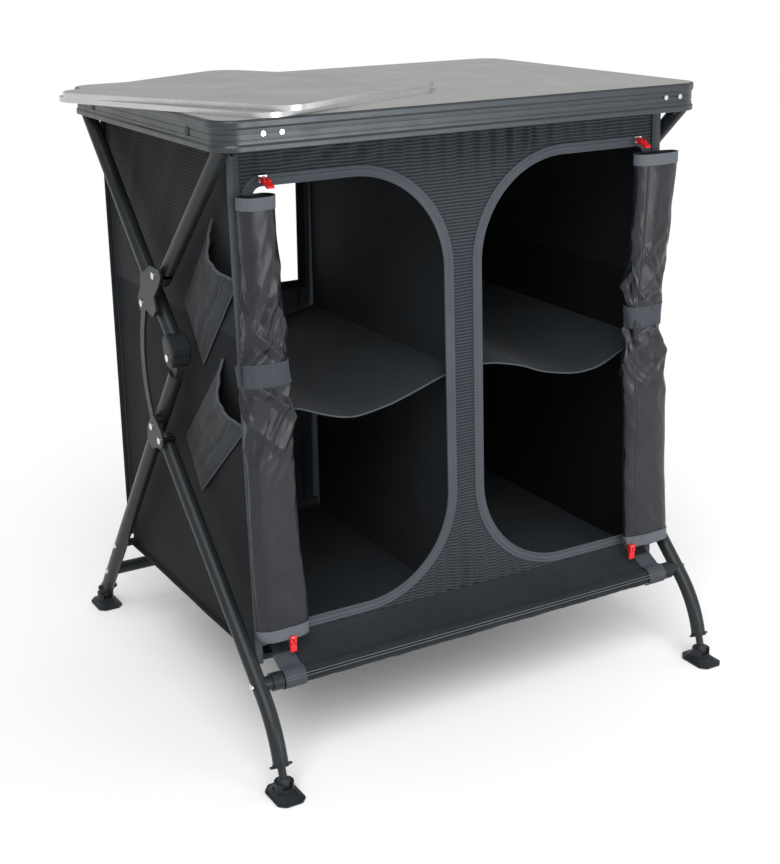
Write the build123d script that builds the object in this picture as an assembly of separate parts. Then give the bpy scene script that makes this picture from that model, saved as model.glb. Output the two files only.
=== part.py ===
from build123d import *
import os
from math import sin, cos, tan, atan2, radians, degrees, hypot, sqrt

# Folding camping kitchen unit: a laminate worktop in an aluminium rim, two
# scissor frames with folding elbows, and a hanging fabric cabinet.
# Millimetres, +Z up, origin on the floor under the middle of the worktop,
# -Y is the front (the side with the two doors), +X is to the right.

os.makedirs("parts", exist_ok=True)

# ---------------------------------------------------------------- dimensions
TOP_W, TOP_D, TOP_H = 685.0, 492.0, 800.0     # worktop outside the rim
RIM_H, RIM_R = 35.0, 30.0                     # rim height, plan corner radius
PANEL_T = 13.0                                # laminate board
PANEL_IN = 3.7                                # rim lip around the board
TUBE_R, TUBE_WALL = 9.75, 1.5                 # frame tube
X_TUBE = 328.0                                # plane of the arms and rear legs
X_FRONT = 330.5                               # plane of the front legs
X_STAY0, X_STAY1 = 338.3, 341.4               # elbow stay
X_PLATE0, X_PLATE1 = 342.0, 345.0             # bracket plates
PIN_R, PIN_HOLE = 3.0, 3.05                   # pivots and their holes
PA = (-220.0, 766.5)                          # front arm pivot (y, z)
PB = (219.0, 770.3)                           # rear arm pivot
P2 = (-52.5, 489.9)                           # elbow pivot
R1 = (-29.5, 591.0)                           # front arm to crossing bracket
R2 = (17.4, 546.6)                            # stay, upper pivot
R3 = (13.4, 381.5)                            # stay, lower pin
R4 = (-11.9, 368.9)                           # leg scissor pivot
E_OFF = 8.5                                   # elbow pivot to each tube axis
BALL_Z, BALL_R, SOCK_R = 17.0, 8.8, 9.0       # foot ball and socket
FOOT_REAR = (317.2, BALL_Z)                   # rear foot ball (y, z)
FOOT_FRONT = (-315.9, BALL_Z)                 # front foot ball
FRONT_BEND = (-294.7, 86.2)                   # front leg bend point
BEND_R = 150.0
PAD_W, PAD_L = 38.0, 56.0                     # foot pad
CAB_X = 308.0                                 # outer face of the fabric sides
SHEET = 2.0                                   # fabric panel thickness
CAB_TOP = 783.0
CAB_BOT = 128.0
DOOR_Z0, DOOR_Z1 = 171.0, 720.0               # door opening
DOOR_X0, DOOR_X1 = 26.0, 286.0
DOOR_R = 128.0
SHELF_Z, SHELF_SAG = 456.0, 37.0
ROLL_X, ROLL_RX, ROLL_RY = 287.0, 30.0, 13.0  # rolled door
BOARD_W, BOARD_L, BOARD_T, BOARD_R = 328.0, 359.0, 6.0, 32.0
BOARD_LOW = (-205.0, -28.0, 22.5)             # centre x, y, turn
BOARD_UP = (-197.0, -24.0, 27.6)

FOLD_B, FOLD_C, FOLD_L = 20.0, 79.0, 132.0    # fold angles: rear arm, elbow, stay
W2, D2 = TOP_W / 2, TOP_D / 2
RIM_Z0 = TOP_H - RIM_H
FOLD_A = -degrees(atan2(R1[1] - PA[1], R1[0] - PA[0]))   # front arm, up to level


# ------------------------------------------------------------------- helpers
def unit(a, b):
    n = hypot(b[0] - a[0], b[1] - a[1])
    return ((b[0] - a[0]) / n, (b[1] - a[1]) / n)


def go(p, d, s):
    return (p[0] + d[0] * s, p[1] + d[1] * s)


def rod(a, b, r, x):
    """Round rod in the plane x, from (y, z) a to b."""
    d = Vector(0, b[0] - a[0], b[1] - a[1])
    pl = Plane(origin=(x, a[0], a[1]), x_dir=(1, 0, 0), z_dir=d)
    return extrude(pl * Circle(r), amount=d.length)


def xrod(p, r, x0, x1):
    """Round rod along X at (y, z) p."""
    pl = Plane(origin=(x0, p[0], p[1]), x_dir=(0, 1, 0), z_dir=(1, 0, 0))
    return extrude(pl * Circle(r), amount=x1 - x0)


def prism(sk, x0, x1):
    """A sketch drawn in (y, z), extruded along X."""
    return extrude(Plane.YZ.offset(x0) * sk, amount=x1 - x0)


def disc(p, r):
    return Pos(p[0], p[1]) * Circle(r)


def bar(a, b, r):
    """Stadium between two points."""
    L = hypot(b[0] - a[0], b[1] - a[1])
    ang = degrees(atan2(b[1] - a[1], b[0] - a[0]))
    m = ((a[0] + b[0]) / 2, (a[1] + b[1]) / 2)
    return Pos(*m) * Rot(0, 0, ang) * Rectangle(L, 2 * r) + disc(a, r) + disc(b, r)


def poly(pts):
    return make_face(Polyline(*[Vector(*p) for p in pts], close=True))


def spin(p, c, deg):
    """Point p turned about c in the (y, z) plane, y towards z."""
    a = radians(deg)
    dy, dz = p[0] - c[0], p[1] - c[1]
    return (c[0] + dy * cos(a) - dz * sin(a), c[1] + dy * sin(a) + dz * cos(a))


def trail(points, r):
    """Slot of radius r through a run of points."""
    sk = bar(points[0], points[1], r)
    for k in range(1, len(points) - 1):
        sk = sk + bar(points[k], points[k + 1], r)
    return sk


def mirror_x(s):
    return mirror(s, about=Plane.YZ)


def both(s):
    return [s, mirror_x(s)]


def save(name, *solids):
    flat = []
    for s in solids:
        flat += list(s.solids()) if hasattr(s, "solids") else [s]
    shape = flat[0] if len(flat) == 1 else Compound(children=flat)
    export_step(shape, "parts/" + name + ".step")


def round_rect(w, d, r):
    return RectangleRounded(w, d, r)


# ------------------------------------------------------------------- worktop
# Rim: a sheet profile with a rolled top lip, two fine grooves and a bottom
# bead, swept round the board. d runs inward from the outside face.
prof = [
    (1.0, 765.0), (0.25, 765.4), (0.0, 766.2), (0.0, 770.6), (0.5, 771.8),
    (1.7, 773.2), (1.9, 776.6), (2.4, 777.0), (2.4, 778.0), (1.9, 778.4),
    (1.9, 784.0), (2.4, 784.4), (2.4, 785.4), (1.9, 785.8), (1.7, 789.6),
    (0.5, 791.0), (0.0, 792.2), (0.0, 797.6), (0.5, 799.2), (1.8, 800.0),
    (PANEL_IN, 800.0), (PANEL_IN, 787.0), (6.0, 787.0), (6.0, 785.6),
    (3.2, 785.2), (3.2, 766.0), (2.4, 765.0),
]
path = round_rect(TOP_W, TOP_D, RIM_R).wire()
start = path @ 0
tan0 = path % 0
inward = Vector(0, 0, 1).cross(tan0)
if (Vector(start.X, start.Y, 0) + inward * 5).length > Vector(start.X, start.Y, 0).length:
    inward = inward * -1
pts3 = [Vector(start.X, start.Y, 0) + inward * d + Vector(0, 0, z) for d, z in prof]
rim_face = make_face(Polyline(*pts3, close=True))
rim = sweep(rim_face, path=Pos(0, 0, 0) * path, transition=Transition.TRANSFORMED)
rim = rim.solids()[0] if hasattr(rim, "solids") else rim

RIVET_X = (-288.0, -265.0, 282.0, 305.0)
RIVET_Z = 784.0
PLUG_Y = (-156.0, 159.0)
PLUG_Z = 781.2
rivets, plugs = [], []
for sy in (-1, 1):
    for x in RIVET_X:
        pl = Plane(origin=(x, sy * (D2 - 5.5), RIVET_Z), x_dir=(1, 0, 0), z_dir=(0, sy, 0))
        rivets.append(extrude(pl * Circle(1.6), amount=4.0))
        head = extrude(pl.offset(3.9) * Circle(3.0), amount=1.1)
        rivets[-1] = rivets[-1] + head
for sx in (-1, 1):
    for y in PLUG_Y:
        pl = Plane(origin=(sx * (W2 - 3.2), y, PLUG_Z), x_dir=(0, 1, 0), z_dir=(sx, 0, 0))
        plugs.append(extrude(pl * Circle(5.5), amount=2.2) + extrude(pl.offset(-1.2) * Circle(5.7), amount=1.2))
for s in rivets + plugs:
    rim = rim - s
rim = rim.solids()[0]
panel = extrude(Pos(0, 0, 787.0) * round_rect(TOP_W - 2 * PANEL_IN, TOP_D - 2 * PANEL_IN, RIM_R - PANEL_IN), amount=PANEL_T)
save("worktop_rim", rim)
save("worktop_panel", panel)
save("rim_rivets", *rivets)
save("rim_side_plugs", *plugs)

# Lugs under the board that carry the upper arms, with their pins.
lugs, lug_pins = [], []
for p in (PA, PB):
    lug_ear = prism(Pos(p[0], (p[1] + 787.0) / 2) * Rectangle(26, 787.0 - p[1]) + disc(p, 8.0), 313.6, 316.8)
    foot = Pos(301.2, p[0], 785.9) * Box(31.2, 26, 2.2)
    lug = lug_ear + foot - xrod(p, PIN_R, 300, 340)
    pin = xrod(p, PIN_R, 311.6, 336.9) + xrod(p, 5.2, 310.6, 313.6)
    lugs += both(lug)
    lug_pins += both(pin)
save("arm_lugs", *lugs)
save("arm_pins", *lug_pins)

# ------------------------------------------------------------ frame geometry
def axis_from(pivot, far, side):
    """Tube axis through far that passes E_OFF from the elbow pivot."""
    dy, dz = far[0] - pivot[0], far[1] - pivot[1]
    L = hypot(dy, dz)
    t = atan2(dz, dy) - side * atan2(E_OFF, sqrt(L * L - E_OFF * E_OFF))
    u = (cos(t), sin(t))
    foot_s = dy * u[0] + dz * u[1]
    return go(far, u, -foot_s), u


AXB, uB = axis_from(P2, PB, 1)                   # rear arm, pointing up
AXC, uC = axis_from(P2, FOOT_REAR, -1)           # rear leg, pointing down
nB = unit(AXB, P2)
nC = unit(AXC, P2)
uA = unit(PA, R1)
LEG_SLOPE = 0.9363                               # front leg rise over run
uD = unit((1.0, LEG_SLOPE), (0.0, 0.0))
_n = (-uD[1], uD[0])
_s = (R4[0] - FRONT_BEND[0]) * uD[0] + (R4[1] - FRONT_BEND[1]) * uD[1]
AXD = go(FRONT_BEND, uD, _s)                     # point of the axis next to R4
uE = unit(FRONT_BEND, FOOT_FRONT)


def tube_hole(solid, *pins):
    for p in pins:
        solid = solid - xrod(p, PIN_HOLE, X_TUBE - 20, X_TUBE + 20)
    return solid


def tube(a, b, x=X_TUBE):
    return rod(a, b, TUBE_R, x) - rod(a, b, TUBE_R - TUBE_WALL, x)


# Upper front arms
a0, a1 = go(PA, uA, -5.0), go(R1, uA, 14.0)
front_arm = tube_hole(tube(a0, a1), PA)
# The lower end hooks on the crossing pin: its slot follows the way the pin
# leaves when both arms fold up.
way = [spin(spin(R1, PB, -FOLD_B * t), PA, -FOLD_A * t) for t in (0.0, 0.025, 0.05, 0.075, 0.1, 0.125)]
front_arm = front_arm - prism(trail(way, PIN_HOLE), X_TUBE - 20, X_TUBE + 20)
front_arm = front_arm.solids()[0]
plug_in = TUBE_R - TUBE_WALL


def plug(p, d, depth=2.2, x=X_TUBE):
    """Disc plug that closes a tube end at p, d pointing into the tube."""
    q = go(p, d, depth)
    return rod(p, q, plug_in, x)


front_plugs = [plug(a0, uA, 1.6), plug(a1, (-uA[0], -uA[1]))]
save("front_arm_left", mirror_x(front_arm))
save("front_arm_right", front_arm)
save("front_arm_end_plugs", *[m for s in front_plugs for m in both(s)])

# Upper rear arms, crossing brackets and elbow housings
b0, b1 = go(PB, uB, 4.4), go(AXB, uB, 15.0)
rear_arm = tube_hole(tube(b1, b0), PB)
save("rear_arm_left", mirror_x(rear_arm))
save("rear_arm_right", rear_arm)


def plate(pts, r, x0, x1):
    """Stamped plate: outline with its corners rounded."""
    sk = offset(offset(poly(pts), -r, kind=Kind.INTERSECTION), r)
    return prism(sk, x0, x1)


cross_plate = plate([(17, 584), (-20, 602), (-49, 602), (-53, 592), (-44, 580), (-26, 563), (-32, 547),
                     (-17, 535), (4, 541), (9, 536), (26, 536), (31, 553), (19, 567)], 2.6, X_PLATE0, X_PLATE1)
cross_saddle = prism(bar(go(AXB, uB, 68.0), go(AXB, uB, 79.0), 8.4), X_TUBE, X_PLATE0) - rod(go(AXB, uB, 40), go(AXB, uB, 130), TUBE_R, X_TUBE)
cross_bracket = (cross_plate + cross_saddle).solids()[0]
pin1 = xrod(R1, PIN_R, 318.4, X_PLATE1)
head1 = xrod(R1, 4.6, X_PLATE1, X_PLATE1 + 1.6)
pin2 = xrod(R2, PIN_R, 336.4, X_PLATE1) + xrod(R2, 5.0, 336.4, 338.1)
head2 = xrod(R2, 4.6, X_PLATE1, X_PLATE1 + 1.6)
cross_bracket = cross_bracket - xrod(R1, PIN_R, 330, 350) - xrod(R2, PIN_R, 330, 350)
save("crossing_brackets", *both(cross_bracket))

# Elbow: a housing on the rear arm and a tongue on the rear leg


def soft_bar(p, q, r, x0, x1, c):
    """Round-ended block with chamfered outer edges."""
    b = prism(bar(p, q, r), x0, x1)
    return chamfer(b.faces().sort_by(Axis.X)[-1].edges() + b.faces().sort_by(Axis.X)[0].edges(), c)


hou = soft_bar(P2, go(go(AXB, uB, 10.0), nB, 3.0), 13.4, 315.0, 342.0, 2.4)
hou = hou + soft_bar(go(AXB, uB, 4.0), go(AXB, uB, 15.0), 12.8, 315.2, 341.8, 2.2)
hou = hou - rod(b1, go(b1, uB, 60), TUBE_R, X_TUBE)
lat = (-uC[1], uC[0])
below = [go(go(P2, uC, -0.5), lat, 45.0), go(go(P2, uC, -0.5), lat, -45.0), go(go(P2, uC, 60.0), lat, -45.0), go(go(P2, uC, 60.0), lat, 45.0)]
slot = prism(poly(below) + disc(P2, 11.6) + bar(go(P2, (1, 0.1), 9.0), go(P2, (1, 0.1), 60), 14.6), 321.6, 334.4)
hou = hou - slot
hou = (hou - xrod(P2, PIN_R, 300, 350)).solids()[0]
save("elbow_housings", *both(hou))
elbow_pin = xrod(P2, PIN_R, 313.4, 343.6) + xrod(P2, 4.8, 342.0, 343.6) + xrod(P2, 4.8, 313.4, 315.0)
save("rear_arm_pins", *both(pin1 + head1), *both(pin2 + head2), *both(elbow_pin))

# Rear legs
c0, c1 = go(AXC, uC, 24.0), go(FOOT_REAR, uC, -23.0)
rear_leg = tube(c0, c1)
REAR_TUBE = go(AXC, uC, (270.0 - AXC[0]) / uC[0])
HEM_ROD = go(AXC, uC, (222.5 - AXC[0]) / uC[0])


def side_rivet(p, x=X_TUBE):
    return xrod(p, 2.0, x + 7.6, x + 9.9) + xrod(p, 4.4, x + 9.6, x + 11.2)


rear_rivets = both(side_rivet(REAR_TUBE)) + both(side_rivet(HEM_ROD))
rear_r = rear_leg - side_rivet(REAR_TUBE) - side_rivet(HEM_ROD)
save("rear_leg_left", mirror_x(rear_r))
save("rear_leg_right", rear_r)
tongue = prism(disc(P2, 11.1) + bar(go(P2, nC, -1.0), go(go(AXC, uC, 24.0), nC, 3.0), 5.5)
               + bar(go(AXC, uC, 10.0), go(AXC, uC, 23.0), 8.6), 321.9, 334.1)
tongue = tongue - rod(c0, go(c0, uC, 60), TUBE_R, X_TUBE)
tongue = tongue + rod(c0, go(c0, uC, 9), plug_in, X_TUBE)
tongue = (tongue - xrod(P2, PIN_HOLE, 300, 350)).solids()[0]
save("elbow_tongues", *both(tongue))

# Scissor bracket on the rear leg with the stay stud and the leg pivot
sc_plate = plate([(32, 358), (29, 378), (16, 393), (8, 400.5), (-2, 395), (-16, 385), (-22, 377), (-21, 364), (-13, 358), (2, 356), (16, 350)],
                 2.6, X_PLATE0, X_PLATE1)
sc_a = go(go(AXC, uC, 113.0), nC, -7.2)
sc_b = go(go(AXC, uC, 113.4), nC, -5.6)
if (sc_a[0] - R4[0]) ** 2 + (sc_a[1] - R4[1]) ** 2 > (go(go(AXC, uC, 113.0), nC, 7.2)[0] - R4[0]) ** 2 + (go(go(AXC, uC, 113.0), nC, 7.2)[1] - R4[1]) ** 2:
    sc_a, sc_b = go(go(AXC, uC, 113.0), nC, 7.2), go(go(AXC, uC, 113.4), nC, 5.6)
sc_saddle = prism(bar(sc_a, sc_b, 3.4), X_TUBE, X_PLATE0) - rod(go(AXC, uC, 60), go(AXC, uC, 240), TUBE_R, X_TUBE)
sc_saddle = max(sc_saddle.solids(), key=lambda q: q.center().X)
sc = sc_plate + sc_saddle
sc = (sc - xrod(R3, PIN_R, 330, 350) - xrod(R4, PIN_R, 330, 350)).solids()[0]
save("scissor_brackets", *both(sc))
pin3 = xrod(R3, PIN_R, 337.95, X_PLATE1) + xrod(R3, 4.6, X_PLATE1, X_PLATE1 + 1.6)
pin4 = xrod(R4, PIN_R, 323.0, X_PLATE1) + xrod(R4, 4.6, X_PLATE1, X_PLATE1 + 1.6)
save("rear_leg_pins", *both(pin3), *both(pin4), *rear_rivets)


def leg_cap(p, d, ball, x):
    """Cap on the tube end at p; d points to the ball."""
    c = rod(go(p, d, -1.0), go(p, d, 2.2), 10.6, x) + rod(go(p, d, -9.0), p, TUBE_R - TUBE_WALL, x)
    c = c - rod(go(p, d, -14.0), p, TUBE_R, x) + rod(go(p, d, -9.0), go(p, d, 0.5), TUBE_R - TUBE_WALL, x)
    c = c + rod(go(p, d, 2.0), go(ball, d, -4.0), 5.0, x)
    c = c + Pos(x, ball[0], ball[1]) * Sphere(BALL_R)
    wing = Plane(origin=(x, *go(p, d, 0.6)), x_dir=(1, 0, 0), z_dir=(0, d[0], d[1]))
    c = c + extrude(wing * RectangleRounded(30.0, 9.0, 4.4), amount=1.6)
    return c.solids()[0]


save("rear_leg_caps", *both(leg_cap(c1, uC, FOOT_REAR, X_TUBE)))

# Rear cross tube and the rod in the cabinet's rear hem
leg_bore = rod(go(AXC, uC, 380), go(AXC, uC, 560), TUBE_R, X_TUBE)


def cross(p, r, wall, cut, x):
    t = xrod(p, r, -x, x) - xrod(p, r - wall, -x, x)
    t = t - cut - mirror_x(cut)
    return max(t.solids(), key=lambda s: s.volume)


save("rear_cross_tube", cross(REAR_TUBE, 9.0, 1.5, leg_bore, X_TUBE))
save("rear_hem_rod", cross(HEM_ROD, 5.5, 1.5, leg_bore, X_TUBE))

# Front legs: straight, then bent down to the foot
d0 = go(AXD, uD, -11.6)
d1 = go(FOOT_FRONT, uE, -23.0)
FRONT_TUBE = go(AXD, uD, (-257.0 - AXD[0]) / uD[0])
leg_line = FilletPolyline(Vector(X_FRONT, *d0), Vector(X_FRONT, *FRONT_BEND), Vector(X_FRONT, *d1), radius=BEND_R)
lp = Plane(origin=(X_FRONT, *d0), x_dir=(1, 0, 0), z_dir=(0, uD[0], uD[1]))
front_leg = sweep(lp * Circle(TUBE_R), path=leg_line) - sweep(lp * Circle(TUBE_R - TUBE_WALL), path=leg_line)
front_rivet = side_rivet(FRONT_TUBE, X_FRONT)
front_leg = (front_leg - front_rivet).solids()[0]
save("front_leg_left", mirror_x(front_leg))
save("front_leg_right", front_leg)
save("front_leg_rivets", *both(front_rivet))
eye = prism(disc(R4, 8.0) + bar(R4, go(AXD, uD, 4.0), 6.5) + bar(go(AXD, uD, -6.0), go(AXD, uD, 9.0), 7.0), 323.6, 337.4)
eye = eye - rod(go(d0, uD, -0.01), go(d0, uD, 60), TUBE_R, X_FRONT) + rod(go(d0, uD, -2.0), go(d0, uD, 10), plug_in, X_FRONT)
eye = (eye - xrod(R4, PIN_HOLE, 300, 350)).solids()[0]
save("front_leg_eyes", *both(eye))
save("front_leg_caps", *both(leg_cap(d1, uE, FOOT_FRONT, X_FRONT)))
leg_outer = sweep(lp * Circle(TUBE_R), path=leg_line)
save("front_cross_tube", cross(FRONT_TUBE, 9.0, 1.5, leg_outer, X_FRONT))
collar = xrod(FRONT_TUBE, 11.4, 301.0, 315.0) - xrod(FRONT_TUBE, 9.0, 290.0, 320.0)
save("front_tube_collars", *both(collar))
SLEEVE_R = 11.6
sleeve = xrod(FRONT_TUBE, SLEEVE_R, -300.0, 300.0) - xrod(FRONT_TUBE, 9.0, -301.0, 301.0)
save("front_tube_sleeve", sleeve)

# Elbow stays: curved straps that hook on the lower stud
sag = 22.0
hw = 6.6
half = hypot(R2[0] - R3[0], R2[1] - R3[1]) / 2
rad = (half * half + sag * sag) / (2 * sag)
mid = ((R2[0] + R3[0]) / 2, (R2[1] + R3[1]) / 2)
dn = unit(R2, R3)
back = (-dn[1], dn[0])
cc = go(mid, back, sag - rad)


apex = go(mid, back, sag)
line = Wire([ThreePointArc(Vector(*R2), Vector(*apex), Vector(*R3)).edge()])
strap = make_face(line.offset_2d(hw, kind=Kind.ARC, side=Side.BOTH, closed=True))
stay_sk = strap + disc(R2, 7.8) + disc(R3, 7.6)
# The hook opens the way its stud leaves when the elbow folds.
out = [spin(spin(R3, P2, FOLD_C * t), R2, -FOLD_L * t) for t in (0.0, 0.015, 0.03, 0.045, 0.06, 0.08)]
stay = prism(stay_sk - trail(out, 3.4), X_STAY0, X_STAY1)
stay = (stay - xrod(R2, PIN_HOLE, 330, 350)).solids()[0]
save("elbow_stays", *both(stay))


# ------------------------------------------------------------------ foot pads
def foot_pad(x, y):
    """Kite-like pad with a raised middle and an open clip round the ball."""
    h, w = PAD_L / 2, PAD_W / 2
    kite = poly([(w - 8, -h), (w, -h + 8), (w, h - 12), (w - 10, h), (-w + 10, h), (-w, h - 12), (-w, -h + 8), (-w + 8, -h)])
    kite = offset(offset(kite, -5.0, kind=Kind.INTERSECTION), 5.0)
    small = offset(kite, -2.0)
    base = extrude(Pos(x, y, 0) * kite, amount=2.2)
    base = base + loft([Pos(x, y, 2.2) * small, Pos(x, y + 1.0, 7.6) * RectangleRounded(25.0, 27.0, 8.0)])
    cup = Pos(x, y, 3.0) * extrude(Circle(12.2), amount=BALL_Z + 2.6 - 3.0)
    front = Pos(x, y - 12.0, BALL_Z + 1.0) * Box(13.0, 24.0, 12.0)
    tall = Pos(x, y + 6.4, (BALL_Z + 4.6 + 3.0) / 2) * Box(15.0, 11.0, BALL_Z + 4.6 - 3.0)
    tall = tall & (Pos(x, y, 3.0) * extrude(Circle(12.2), amount=BALL_Z + 4.6 - 3.0))
    pad = base + cup - front
    pad = pad - Pos(x, y, BALL_Z) * Sphere(SOCK_R)
    return max(pad.solids(), key=lambda q: q.volume)


for nm, px, y in (("foot_pad_front_left", -X_FRONT, FOOT_FRONT[0]), ("foot_pad_front_right", X_FRONT, FOOT_FRONT[0]),
                  ("foot_pad_rear_left", -X_TUBE, FOOT_REAR[0]), ("foot_pad_rear_right", X_TUBE, FOOT_REAR[0])):
    save(nm, foot_pad(px, y))

# ------------------------------------------------------------ fabric cabinet
# Side walls and divider are four-sided panels in the Y-Z plane; their rear
# lower corner stays clear of the hem rod.
FT, FB = -196.0, -214.0        # inner face of the front panel, top and bottom
BT, BB = 212.0, 227.0          # inner face of the back wall
side = poly([(FT + 1, CAB_TOP), (BT - 1, CAB_TOP), (BB - 1.2, 143.0), (216.0, 143.0), (216.0, CAB_BOT), (FB + 1, CAB_BOT)])
wall = prism(side, CAB_X - SHEET, CAB_X)
save("cabinet_left_wall", mirror_x(wall))
save("cabinet_right_wall", wall)
div = poly([(FT + 6, CAB_TOP), (BT - 1, CAB_TOP), (BB - 1.4, 143.0), (214.0, 143.0), (214.0, CAB_BOT + 0.5), (FB + 6, CAB_BOT + 0.5)])
save("cabinet_divider", prism(div, -0.8, 0.8))
save("cabinet_floor", Pos(0, (216.0 + FB + 1) / 2, CAB_BOT - 1.2) * Box(2 * CAB_X, 216.0 - FB - 1, 2.0))

bw = prism(poly([(BT, CAB_TOP), (BT + SHEET, CAB_TOP), (BB + SHEET, 143.5), (BB, 143.5)]), -CAB_X, CAB_X)
WIN_X0, WIN_X1, WIN_Z0, WIN_Z1 = -131.0, -21.0, 496.0, 656.0
bw = bw - Pos((WIN_X0 + WIN_X1) / 2, 220, (WIN_Z0 + WIN_Z1) / 2) * Box(WIN_X1 - WIN_X0, 60, WIN_Z1 - WIN_Z0)
save("cabinet_back_wall", bw)

# Front panel with two arched door openings
zt, zb = CAB_TOP, 150.0
fv = Vector(0, FT - FB, CAB_TOP - CAB_BOT).normalized()
fn = Vector(0, -fv.Z, fv.Y)
fpl = Plane(origin=Vector(0, FT + (FB - FT) * (CAB_TOP - zb) / (CAB_TOP - CAB_BOT), zb), x_dir=(1, 0, 0), z_dir=fn)
s_of = lambda z: (z - zb) / fv.Z


def door_sketch(grow=0.0):
    z0, z1 = s_of(DOOR_Z0) - grow, s_of(DOOR_Z1) + grow
    x0, x1 = DOOR_X0 - grow, DOOR_X1 + grow
    r = DOOR_R + grow
    ro = 14.0 + grow
    k = 0.70710678
    e = [
        Line((x1 - ro, z1), (x0 + r, z1)),
        ThreePointArc((x0 + r, z1), (x0 + r - r * k, z1 - r + r * k), (x0, z1 - r)),
        Line((x0, z1 - r), (x0, z0 + r)),
        ThreePointArc((x0, z0 + r), (x0 + r - r * k, z0 + r - r * k), (x0 + r, z0)),
        Line((x0 + r, z0), (x1 - ro, z0)),
        ThreePointArc((x1 - ro, z0), (x1 - ro + ro * k, z0 + ro - ro * k), (x1, z0 + ro)),
        Line((x1, z0 + ro), (x1, z1 - ro)),
        ThreePointArc((x1, z1 - ro), (x1 - ro + ro * k, z1 - ro + ro * k), (x1 - ro, z1)),
    ]
    f = make_face(Wire([q.edge() for q in e]))
    return f


door = door_sketch()
door_l = mirror(door, about=Plane.YZ)
fr = Pos(0, s_of(CAB_TOP) / 2) * Rectangle(2 * CAB_X, s_of(CAB_TOP)) - door - door_l
front_panel = extrude(fpl * fr, amount=SHEET)
save("cabinet_front_panel", front_panel)
tape = door_sketch(9.0) - door_sketch(0.6)
zips = extrude(fpl.offset(SHEET) * tape, amount=0.9)
save("door_zip_tapes", zips, mirror_x(zips))

# Shelves: fabric slung between the side wall and the divider
sx0, sx1 = 1.6, CAB_X - SHEET - 0.6
sr = (((sx1 - sx0) / 2) ** 2 + SHELF_SAG ** 2) / (2 * SHELF_SAG)
mx = (sx0 + sx1) / 2
up = ThreePointArc((sx0, SHELF_Z), (mx, SHELF_Z - SHELF_SAG), (sx1, SHELF_Z))
lo = ThreePointArc((sx0, SHELF_Z - 2), (mx, SHELF_Z - 2 - SHELF_SAG), (sx1, SHELF_Z - 2))
sh = make_face(Wire([up.edge(), Line(up @ 1, lo @ 1).edge(), lo.edge(), Line(lo @ 0, up @ 0).edge()]))
spl = Plane(origin=(0, -192.0, 0), x_dir=(1, 0, 0), z_dir=(0, -1, 0))
shelf = extrude(spl * sh, amount=-(216.0 - (-192.0) - 1.0))
save("shelf_left", mirror_x(shelf))
save("shelf_right", shelf)

# Rolled-up doors with their tie straps, hanging just outside the front panel
roll_off = SHEET + 0.9 + 1.6 + ROLL_RY
rpl = Plane(origin=fpl.origin + fn * roll_off + fv * s_of(183.0), x_dir=(1, 0, 0), z_dir=fv)
ROLL_LEN = s_of(712.0) - s_of(183.0)


def roll(sx):
    return extrude(rpl * Pos(sx * ROLL_X, 0) * Ellipse(ROLL_RX, ROLL_RY), amount=ROLL_LEN)


STRAP_Z = {-1: 505.0, 1: 496.0}


def strap_band(sx):
    z = STRAP_Z[sx]
    pl = Plane(origin=fpl.origin + fn * roll_off + fv * (s_of(z) - 15.0), x_dir=(1, 0, 0), z_dir=fv)
    ring = Ellipse(ROLL_RX + 1.4, ROLL_RY + 1.0) - Ellipse(ROLL_RX, ROLL_RY)
    return extrude(pl * Pos(sx * ROLL_X, 0) * ring, amount=30.0)


save("door_roll_left", roll(-1))
save("door_roll_right", roll(1))
save("roll_straps", strap_band(-1), strap_band(1))

# Sliders and pulls. Upper pair at the top of the tapes, lower pair by the hem.
zu = 727.5
yu = FT + (FB - FT) * (CAB_TOP - zu) / (CAB_TOP - CAB_BOT) - SHEET - 0.9
PULL_U = (yu - 8.4, zu)
us = Pos(272.0, yu - 2.4, zu) * Box(11.0, 4.0, 8.0)
us = us + prism(bar((yu - 4.0, zu), PULL_U, 2.0), 270.8, 273.2) + xrod(PULL_U, 1.4, 267.6, 276.4)
save("upper_zip_sliders", *both(us))


def pull_tab(pivot, d, length, x, w):
    """Pull on the pin at pivot, pointing along d in (y, z)."""
    a = prism(bar(go(pivot, d, 5.0), go(pivot, d, length), 1.6), x - w / 2, x + w / 2)
    for sx in (-1, 1):
        xa = x + sx * (w / 2 - 1.6)
        a = a + prism(bar(pivot, go(pivot, d, 6.0), 2.8), xa - 1.6, xa + 1.6)
    return a - xrod(pivot, 1.45, x - w, x + w)


UP_DIR = unit((0, 0), (-23.0, -10.4))
save("upper_zip_pull_left", pull_tab(PULL_U, UP_DIR, 17.0, -272.0, 9.0).solids()[0])
save("upper_zip_pull_right", pull_tab(PULL_U, UP_DIR, 17.0, 272.0, 9.0).solids()[0])

PULL_L = (-243.2, 166.0)
LOW_L, LOW_R = -276.0, 257.0


def low_slider(x):
    q = prism(poly([(-234.0, 171.0), (-238.4, 171.0), (-238.4, 162.0), (-234.0, 162.0)]), x - 5.0, x + 5.0)
    return q + prism(bar((-237.0, 166.0), PULL_L, 2.0), x - 0.9, x + 0.9) + xrod(PULL_L, 1.4, x - 3.8, x + 3.8)


save("lower_zip_sliders", low_slider(LOW_L), low_slider(LOW_R))
DN_DIR = unit((0, 0), (-0.6, -21.0))
save("lower_zip_pull_left", pull_tab(PULL_L, DN_DIR, 17.5, LOW_L, 8.4).solids()[0])
save("lower_zip_pull_right", pull_tab(PULL_L, DN_DIR, 17.5, LOW_R, 8.4).solids()[0])

# Apron between the front panel and the sleeve of the front cross tube
ft = FRONT_TUBE
ap = prism(poly([(-216.4, 149.4), (-214.9, 148.2), go(ft, (0.70, 0.714), SLEEVE_R - 0.2), go(ft, (0.60, 0.80), SLEEVE_R - 0.1)]), -298.0, 298.0) - sleeve
ap = ap.solids()[0]
save("front_apron", ap)


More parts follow.
